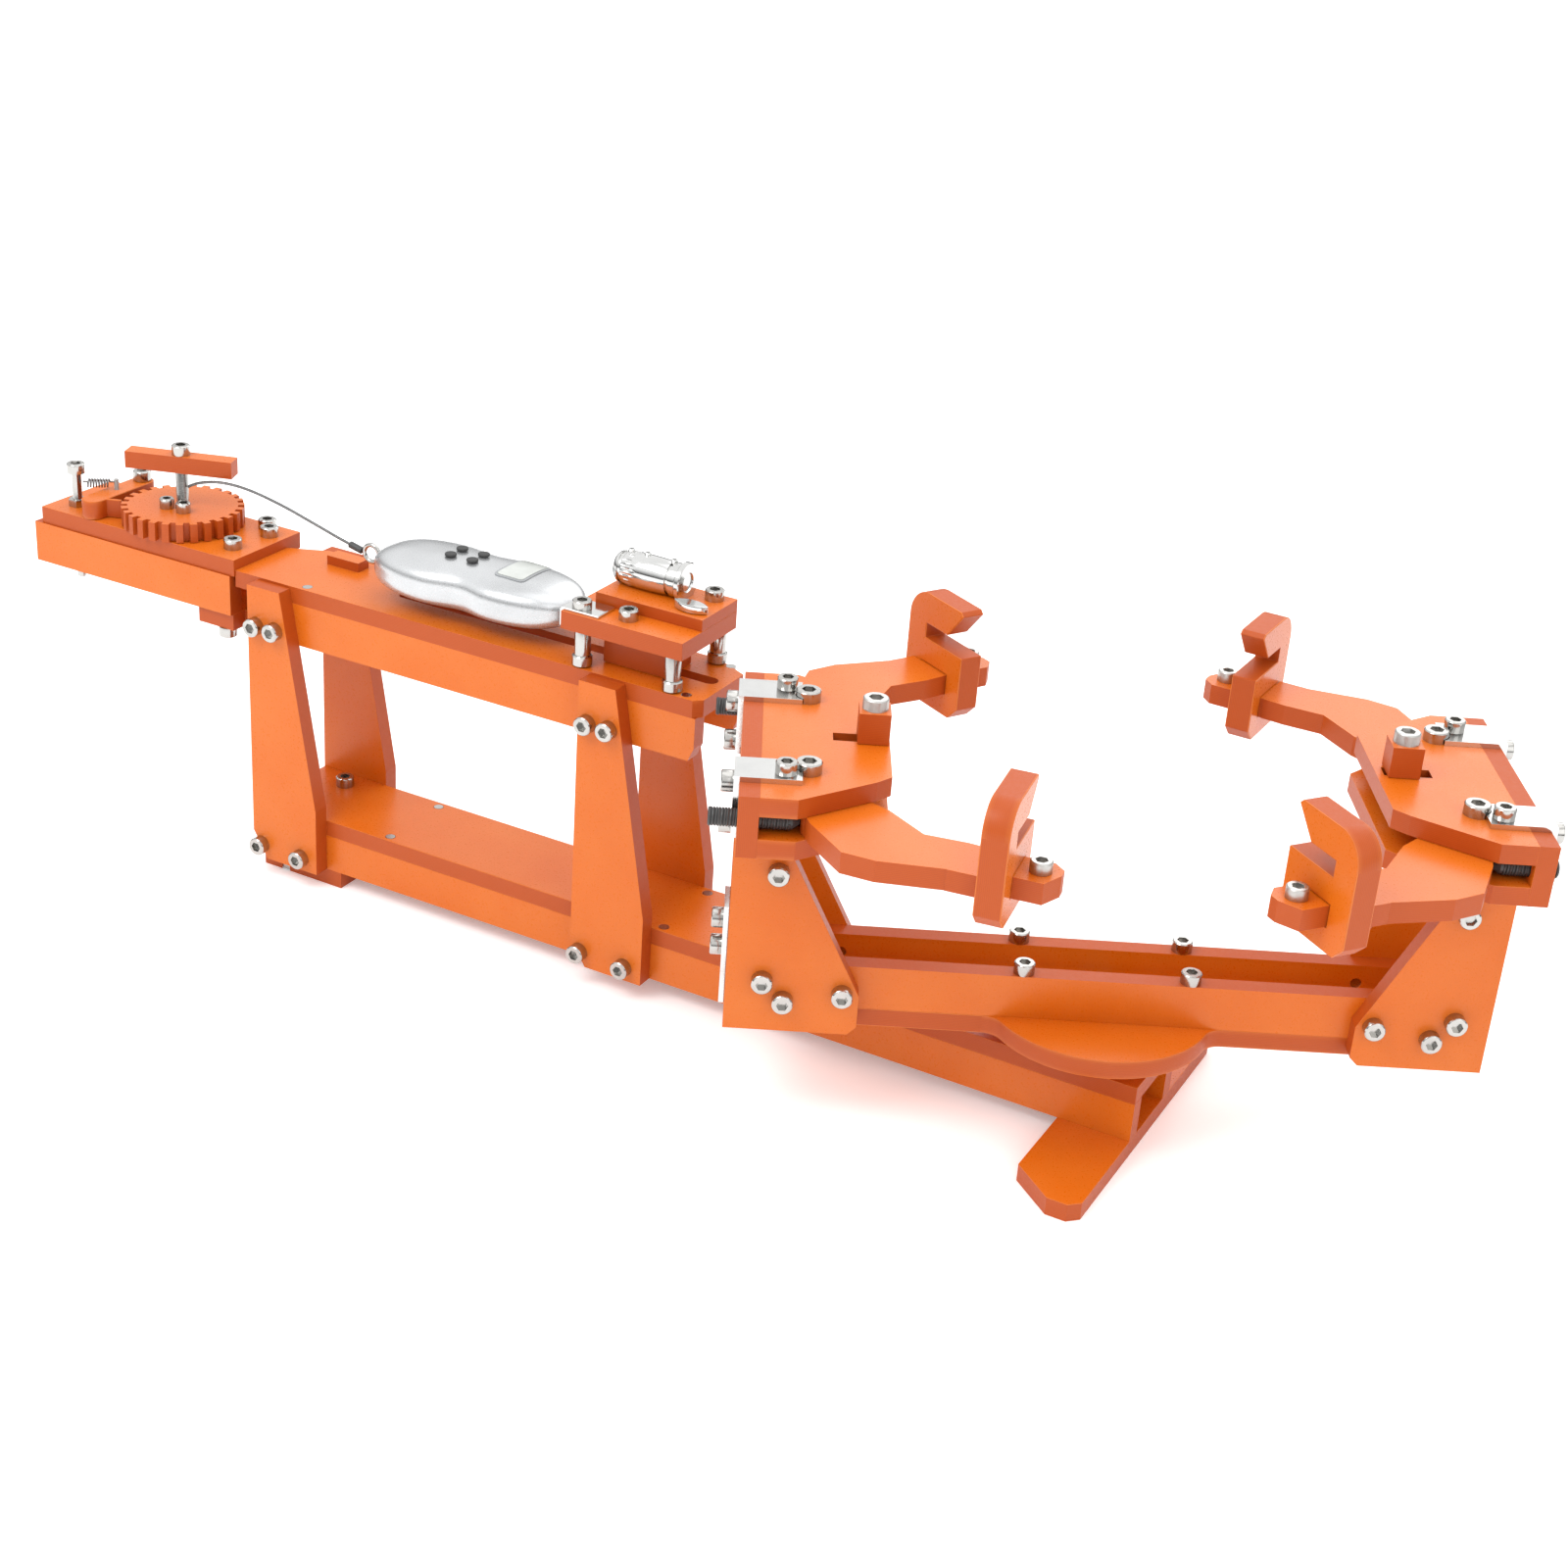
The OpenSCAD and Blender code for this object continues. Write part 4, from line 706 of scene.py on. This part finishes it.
def strand_tree():
    """Strands twisted along a path"""
    geometry = Geometry("twisted_strands", [("Strands", "NodeSocketInt", 6),
                                            ("Cable radius", "NodeSocketFloat", 0.0008),
                                            ("Lay", "NodeSocketFloat", 0.007)])
    start = geometry.start.outputs
    radius = start["Cable radius"]
    path = geometry.add("GeometryNodeMeshToCurve")
    geometry.join(start["Geometry"], path.inputs[0])
    kind = geometry.place("GeometryNodeCurveSplineType", {"Curve": path.outputs[0]},
                          spline_type="CATMULL_ROM")
    even = geometry.place("GeometryNodeResampleCurve", {"Count": 220, "Curve": kind.outputs[0]},
                          mode="COUNT")
    along = geometry.add("GeometryNodeSplineParameter")
    turn = geometry.math("DIVIDE", geometry.math("MULTIPLY", along.outputs["Length"], math.tau),
                         start["Lay"])
    tilt = geometry.place("GeometryNodeSetCurveTilt", {"Curve": even.outputs[0], "Tilt": turn})
    circle = geometry.place("GeometryNodeMeshCircle", {
        "Vertices": start["Strands"], "Radius": geometry.math("MULTIPLY", radius, 0.66)})
    wire = geometry.place("GeometryNodeCurvePrimitiveCircle", {
        "Resolution": 8, "Radius": geometry.math("MULTIPLY", radius, 0.34)})
    spots = geometry.place("GeometryNodeInstanceOnPoints", {
        "Points": circle.outputs["Mesh"], "Instance": wire.outputs["Curve"]})
    profile = geometry.add("GeometryNodeRealizeInstances")
    geometry.join(spots.outputs[0], profile.inputs[0])
    geometry.close(geometry.sweep(tilt, profile))
    return geometry


# Operators

class STRINGER_OT_plates(bpy.types.Operator):
    """Gives every phenolic plate its laminate, with faces and cut edges told apart"""
    bl_idname = "stringer.plates"
    bl_label = "Phenolic plates"

    def execute(self, context):
        for node in LYING_PLATES:
            finish_node(node, laminate("laminate_lying", UP))
        for node, axis in STANDING_PLATES.items():
            name = {BACK: "laminate_standing", ACROSS_BEAM: "laminate_beam"}.get(axis, "laminate_end")
            finish_node(node, laminate(name, axis))
        for corner in CORNERS:
            finish_node("arm_" + corner, laminate("laminate_arm", UP, ARM_TOP, 0.0))
            tongue = Vector(JOINTS["hook_" + corner + "_slide"]["axis"]).normalized()
            finish_node("hook_" + corner, laminate("laminate_hook_" + corner, tuple(tongue)))
        for side in ("left", "right"):
            finish_node("post_" + side, laminate("laminate_post", UP, POST_TOP, DECK_TOP))
        finish_node("pawl", laminate("laminate_pawl", UP, PAWL_TOP, 0.0))
        return {"FINISHED"}


class STRINGER_OT_steel(bpy.types.Operator):
    """Finishes the screws, the straps, the bearing and the ferrule"""
    bl_idname = "stringer.steel"
    bl_label = "Screws and straps"

    def execute(self, context):
        for node in SCREW_NODES:
            finish_node(node, screw_steel())
        for node in POLISHED_NODES:
            finish_node(node, polished_steel())
        finish_node("pivot_bearing", moulded("bearing_plastic", (0.03, 0.03, 0.03), 0.45, 700.0, 0.1))
        finish_node("cable_ferrule", black_oxide())
        return {"FINISHED"}


class STRINGER_OT_adjusters(bpy.types.Operator):
    """Cuts a thread on the four adjusting screws"""
    bl_idname = "stringer.adjusters"
    bl_label = "Adjusting screws"

    def execute(self, context):
        size = context.scene.stringer_size
        geometry = thread_tree()
        for corner in CORNERS:
            node = "adjuster_" + corner
            out = Vector(JOINTS[node + "_slide"]["axis"]).normalized()
            vertices = [Vector(vertex.co) for vertex in NODES[node].data.vertices]
            reach = [point.dot(out) for point in vertices]
            across = UP_VECTOR.cross(out)
            middle = [point.dot(across) for point in vertices]
            low, high = min(reach), max(reach)
            side = (min(middle) + max(middle)) / 2
            radius = (max(middle) - min(middle)) / 2
            height = (min(p.z for p in vertices) + max(p.z for p in vertices)) / 2
            axis = across * side + UP_VECTOR * height
            mesh = grown_mesh(node + "_thread", geometry, {
                "Length": high - low - ADJUSTER_TIP, "Radius": radius, "Pitch": size.thread_pitch,
                "Material": black_oxide()})
            turn = Matrix((across, UP_VECTOR, out)).transposed().to_4x4()
            mesh.transform(Matrix.Translation(out * (low + ADJUSTER_TIP) + axis) @ turn)
            cone = turned_mesh(node + "_tip", out * low + axis, out,
                               [(0.0, 0.0012), (0.0004, 0.0015), (ADJUSTER_TIP, radius * 0.86)], 32)
            socket = turned_mesh(node + "_rim", out * high + axis, -out,
                                 [(0.0, 0.0024), (0.0, radius * 0.84), (0.0005, radius * 0.99),
                                  (0.0011, radius * 0.99), (0.0015, radius * 0.84)], 32)
            mesh = joined_mesh(node + "_screw", (mesh, cone, socket))
            mesh.materials.clear()
            smooth_by_angle(mesh, 35)
            new_piece(node + "_screw", mesh, node, black_oxide(), (node,))
        return {"FINISHED"}


class STRINGER_OT_cable(bpy.types.Operator):
    """Twists the strands of the pull cable"""
    bl_idname = "stringer.cable"
    bl_label = "Pull cable"

    def execute(self, context):
        size = context.scene.stringer_size
        path = bpy.data.meshes.new("cable_path")
        path.from_pydata(ROUTE, [(k, k + 1) for k in range(len(ROUTE) - 1)], [])
        mesh = grown_mesh("pull_cable_strands", strand_tree(), {
            "Strands": size.strand_count, "Cable radius": CABLE_RADIUS, "Lay": size.strand_lay,
            "Material": wire_steel()}, path)
        mesh.shade_smooth()
        cable = new_piece("pull_cable_strands", mesh, "carriage", wire_steel(),
                          ("pull_cable",))
        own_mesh(cable)
        return {"FINISHED"}


class STRINGER_OT_spring(bpy.types.Operator):
    """Winds the pawl's spring and adds the nut under its post"""
    bl_idname = "stringer.spring"
    bl_label = "Pawl spring"

    def execute(self, context):
        first, last = Vector(SPRING_ENDS[0]), Vector(SPRING_ENDS[1])
        along = (last - first).normalized()
        side = UP_VECTOR.cross(along)
        length = (last - first).length - 2 * SPRING_TAIL
        mesh = grown_mesh("pawl_spring_coil", spring_tree(), {
            "Turns": SPRING_TURNS, "Coil radius": COIL_RADIUS, "Wire radius": WIRE_RADIUS,
            "Length": length, "Tail": SPRING_TAIL, "Material": wire_steel()})
        turn = Matrix((side, UP_VECTOR, along)).transposed().to_4x4()
        mesh.transform(Matrix.Translation(first + along * SPRING_TAIL) @ turn)
        mesh.shade_smooth()
        coil = new_piece("pawl_spring_coil", mesh, "base", wire_steel(), ("pawl_spring",))
        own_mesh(coil)
        low, high = corners("spring_post")
        spot = Vector(((low.x + high.x) / 2, first.y, 0.0))
        nut = turned_mesh("spring_post_nut", spot + UP_VECTOR * POST_NUT_TOP, -UP_VECTOR,
                          [(0.0, 0.0024), (0.0, 0.0041), (0.0005, 0.0046), (0.0035, 0.0046),
                           (0.004, 0.0041), (0.004, 0.0025)], 6)
        tip = turned_mesh("spring_post_tip", spot + UP_VECTOR * POST_END_TOP, -UP_VECTOR,
                          [(0.0, 0.0024), (0.0048, 0.0024), (0.0054, 0.0018)], 24)
        mesh = joined_mesh("spring_post_nut", (nut, tip))
        smooth_by_angle(mesh, 30)
        new_piece("spring_post_nut", mesh, "base", screw_steel())
        return {"FINISHED"}


class STRINGER_OT_wheel(bpy.types.Operator):
    """Cuts the ratchet wheel's broad teeth"""
    bl_idname = "stringer.wheel"
    bl_label = "Ratchet wheel"

    def execute(self, context):
        size = context.scene.stringer_size
        low, high = corners("ratchet_wheel")
        centre = (low + high) / 2
        radius = (high.y - low.y) / 2
        pitch = math.tau / size.wheel_teeth
        root = radius - size.tooth_depth
        crest = radius - HAIR
        outline = []
        for tooth in range(size.wheel_teeth):
            middle = PAWL_NOSE + pitch * (tooth + 0.5)
            for share, reach in ((-0.29, root), (-0.25, crest), (0.0, crest), (0.25, crest),
                                 (0.29, root), (0.5, root)):
                turn = middle + share * pitch
                outline.append((centre.x + reach * math.cos(turn), centre.y + reach * math.sin(turn)))
        rings = [[Vector((x, y, z)) for x, y in outline] for z in (low.z, high.z)]
        mesh = rings_mesh("ratchet_wheel_teeth", rings)
        smooth_by_angle(mesh, 25)
        new_piece("ratchet_wheel_teeth", mesh, "crank", laminate("laminate_lying", UP),
                  ("ratchet_wheel",))
        return {"FINISHED"}


class STRINGER_OT_scale(bpy.types.Operator):
    """Forms the scale's housing, its display and its buttons"""
    bl_idname = "stringer.scale"
    bl_label = "Digital scale"

    def execute(self, context):
        finish = context.scene.stringer_finish
        depth = context.scene.stringer_size.seam_depth
        form = ScaleShape()
        steps = 96
        rings = []
        for k in range(steps + 1):
            points = form.ring(HOUSING_END * math.sin(-math.pi / 2 + math.pi * k / steps), steps)
            for point in points:
                seam = math.exp(-((point.z - form.middle.z) / SEAM_WIDTH) ** 2)
                inward = Vector((0.0, form.middle.y - point.y, 0.0))
                if inward.length > 0.001:
                    point += inward.normalized() * depth * seam
            rings.append(points)
        mesh = rings_mesh("scale_housing", rings)
        smooth_by_angle(mesh, 50)
        silver = moulded("silver_housing", finish.housing, 0.3, 1400.0, 0.04, 0.4, 0.75)
        new_piece("scale_housing", mesh, "carriage", silver, ("scale_body",))
        low, high = corners("scale_window")
        x0, x1 = low.x - form.middle.x, high.x - form.middle.x
        y0, y1 = low.y, high.y
        bezel = form.patch("scale_bezel", x0 - BEZEL_RIM, x1 + BEZEL_RIM, y0 - BEZEL_RIM, y1 + BEZEL_RIM,
                           -0.0002, 0.0006, 0.003)
        dark = moulded("bezel_plastic", (0.3, 0.31, 0.32), 0.35, 900.0, 0.05)
        new_piece("scale_bezel", bezel, "carriage", dark)
        window = form.patch("scale_display", x0, x1, y0, y1, 0.0001, 0.0006, 0.002)
        new_piece("scale_display", window, "carriage", display_glass(), ("scale_window",))
        rubber = moulded("button_rubber", (0.025, 0.025, 0.027), 0.5, 900.0, 0.12)
        for corner in CORNERS:
            finish_node("button_" + corner, rubber)
        return {"FINISHED"}


class STRINGER_OT_gripper(bpy.types.Operator):
    """Turns the gripper's polished barrel with its grooves and collar"""
    bl_idname = "stringer.gripper"
    bl_label = "String gripper"

    def execute(self, context):
        low, high = corners("gripper_body")
        radius = GRIPPER_RADIUS
        centre = Vector((low.x, (low.y + high.y) / 2, low.z + radius - 0.001))
        barrel = high.x - low.x - 0.003
        profile = [(0.0, 0.0), (0.0, 0.62), (0.0006, 0.74), (0.002, 0.86), (0.0035, 0.9), (0.0036, 0.82),
                   (0.0052, 0.82), (0.0053, 0.93), (COLLAR_END, 0.94)]
        for k in range(17):
            bulge = 0.93 + 0.07 * math.sin(math.pi * k / 16) ** 0.6
            profile.append((0.0056 + (barrel - 0.0115) * k / 16, bulge))
        profile += [(barrel - 0.0058, 0.84), (barrel - 0.0042, 0.84), (barrel - 0.0041, 0.95),
                    (barrel - 0.0002, 0.95), (barrel, 1.06), (barrel + 0.0005, 1.11),
                    (barrel + 0.0025, 1.11), (barrel + 0.003, 1.04), (barrel + 0.003, 0.55),
                    (barrel + 0.0022, 0.5), (barrel + 0.0022, 0.0)]
        profile = [(reach, radius * share) for reach, share in profile]
        parts = [turned_mesh("gripper_barrel", centre, (1.0, 0.0, 0.0), profile, 96, low.z,
                             (COLLAR_END, 0.0125, 0.00035))]
        for share in (0.2, 0.45, 0.86):
            spot = centre + Vector((barrel * share, 0.0, radius * 0.9))
            parts.append(turned_mesh("gripper_screw", spot, UP, [
                (0.0, 0.0017), (0.0016, 0.0017), (0.0019, 0.0014), (0.0019, 0.0009), (0.0011, 0.0009),
                (0.0011, 0.0)], 24))
        mesh = joined_mesh("gripper_barrel", parts)
        smooth_by_angle(mesh, 32)
        new_piece("gripper_barrel", mesh, "carriage", polished_steel(), ("gripper_body",))
        self.add_feet()
        self.add_bracket()
        return {"FINISHED"}

    def add_feet(self):
        """The collars at the bottom of the carriage's steel feet"""
        low, high = corners("carriage_plate")
        collars = []
        for x in (low.x + 0.01, high.x - 0.007):
            for y in (-FOOT_OUT, FOOT_OUT):
                spot = Vector((x, y, FOOT_BOTTOM))
                collars.append(turned_mesh("collar", spot, UP, [
                    (0.0, 0.0046), (0.0005, 0.005), (0.0047, 0.005), (0.0053, 0.0044),
                    (0.0053, 0.0039)], 40))
        mesh = joined_mesh("carriage_foot_collars", collars)
        smooth_by_angle(mesh, 30)
        new_piece("carriage_foot_collars", mesh, "carriage", screw_steel())

    def add_bracket(self):
        """The polished strip that holds the scale to the carriage's left end"""
        low, high = corners("carriage_plate")
        left, top, thick, reach, drop = low.x, high.z, 0.0015, 0.02, 0.008
        outline = [(left - thick, top - drop), (left - thick, top + 0.0004), (left - 0.0004, top + thick),
                   (left + reach - 0.0004, top + thick), (left + reach, top + thick - 0.0004),
                   (left + reach, top + 0.0001), (left - 0.0001, top + 0.0001), (left - 0.0001, top - drop)]
        rings = [[Vector((x, y, z)) for x, z in outline] for y in (-0.0245, -0.0095)]
        mesh = rings_mesh("scale_bracket", rings)
        smooth_by_angle(mesh, 30)
        new_piece("scale_bracket", mesh, "carriage", polished_steel())


class STRINGER_OT_stage(bpy.types.Operator):
    """Pale floor, soft studio light and the camera"""
    bl_idname = "stringer.stage"
    bl_label = "Stage"

    def execute(self, context):
        scene = context.scene
        shape = bmesh.new()
        bmesh.ops.create_grid(shape, x_segments=1, y_segments=1, size=FLOOR_HALF)
        mesh = bpy.data.meshes.new("floor")
        shape.to_mesh(mesh)
        shape.free()
        floor = bpy.data.objects.new("floor", mesh)
        floor.location.z = -FLOOR_DROP
        scene.collection.objects.link(floor)
        material, tree, shader = start_material("pale_floor")
        spot = tree.add("ShaderNodeTexCoord")
        cloud = tree.noise(spot.outputs["Object"], 3.0, 2.0, 0.5)
        tree.join(tree.mix(cloud, (0.93, 0.93, 0.93, 1.0), (0.95, 0.95, 0.95, 1.0)),
                  shader.inputs["Base Color"])
        shader.inputs["Roughness"].default_value = 0.75
        shader.inputs["Specular IOR Level"].default_value = 0.2
        shader.inputs["Emission Color"].default_value = (1.0, 1.0, 1.0, 1.0)
        shader.inputs["Emission Strength"].default_value = 0.24
        mesh.materials.append(material)
        world = bpy.data.worlds.new("studio")
        world.use_nodes = True
        background = world.node_tree.nodes["Background"]
        background.inputs["Color"].default_value = (1.0, 1.0, 1.0, 1.0)
        sky = Tree(world.node_tree)
        height = sky.add("ShaderNodeSeparateXYZ")
        sky.join(sky.add("ShaderNodeTexCoord").outputs["Generated"], height.inputs[0])
        sky.join(sky.ramp(height.outputs["Z"], 0.06, 0.4, 0.1, 1.25), background.inputs["Strength"])
        scene.world = world
        scene.view_settings.view_transform = "Standard"
        for name, place, energy, size in LAMPS:
            lamp = bpy.data.lights.new(name, "AREA")
            lamp.energy = energy
            lamp.size = size
            holder = bpy.data.objects.new(name, lamp)
            holder.location = place
            aim = Vector(LAMP_AIM) - Vector(place)
            holder.rotation_euler = aim.to_track_quat("-Z", "Y").to_euler()
            scene.collection.objects.link(holder)
        camera = bpy.data.cameras.new("camera")
        camera.lens = CAMERA_LENS
        camera.sensor_width = 36.0
        camera.clip_start = 0.05
        viewer = bpy.data.objects.new("camera", camera)
        right, up, ahead = (Vector(axis) for axis in (CAMERA_RIGHT, CAMERA_UP, CAMERA_AHEAD))
        cos_roll, sin_roll = math.cos(CAMERA_ROLL), math.sin(CAMERA_ROLL)
        turned_right = right * cos_roll + up * sin_roll
        turned_up = up * cos_roll - right * sin_roll
        turn = Matrix((turned_right, turned_up, -ahead)).transposed()
        viewer.matrix_world = Matrix.Translation(CAMERA_PLACE) @ turn.to_4x4()
        scene.collection.objects.link(viewer)
        scene.camera = viewer
        return {"FINISHED"}


class STRINGER_PT_panel(bpy.types.Panel):
    """Lists the machine's steps in the sidebar"""
    bl_idname = "STRINGER_PT_panel"
    bl_label = "Stringing machine"
    bl_space_type = "VIEW_3D"
    bl_region_type = "UI"
    bl_category = "Stringer"

    def draw(self, context):
        layout = self.layout
        for group in (context.scene.stringer_finish, context.scene.stringer_size):
            box = layout.box()
            for name in group.__annotations__:
                box.prop(group, name)
        for operator in STEPS:
            layout.operator(operator.bl_idname)


STEPS = (STRINGER_OT_stage, STRINGER_OT_plates, STRINGER_OT_steel, STRINGER_OT_adjusters,
         STRINGER_OT_cable, STRINGER_OT_spring, STRINGER_OT_wheel, STRINGER_OT_scale, STRINGER_OT_gripper)
CLASSES = (StringerFinish, StringerSize) + STEPS + (STRINGER_PT_panel,)


def register():
    for item in CLASSES:
        bpy.utils.register_class(item)
    bpy.types.Scene.stringer_finish = bpy.props.PointerProperty(type=StringerFinish)
    bpy.types.Scene.stringer_size = bpy.props.PointerProperty(type=StringerSize)


def unregister():
    del bpy.types.Scene.stringer_finish
    del bpy.types.Scene.stringer_size
    for item in reversed(CLASSES):
        bpy.utils.unregister_class(item)


def main():
    register()
    bpy.ops.stringer.stage()
    bpy.ops.stringer.plates()
    bpy.ops.stringer.steel()
    bpy.ops.stringer.adjusters()
    bpy.ops.stringer.cable()
    bpy.ops.stringer.spring()
    bpy.ops.stringer.wheel()
    bpy.ops.stringer.scale()
    bpy.ops.stringer.gripper()


if __name__ == "__main__":
    main()
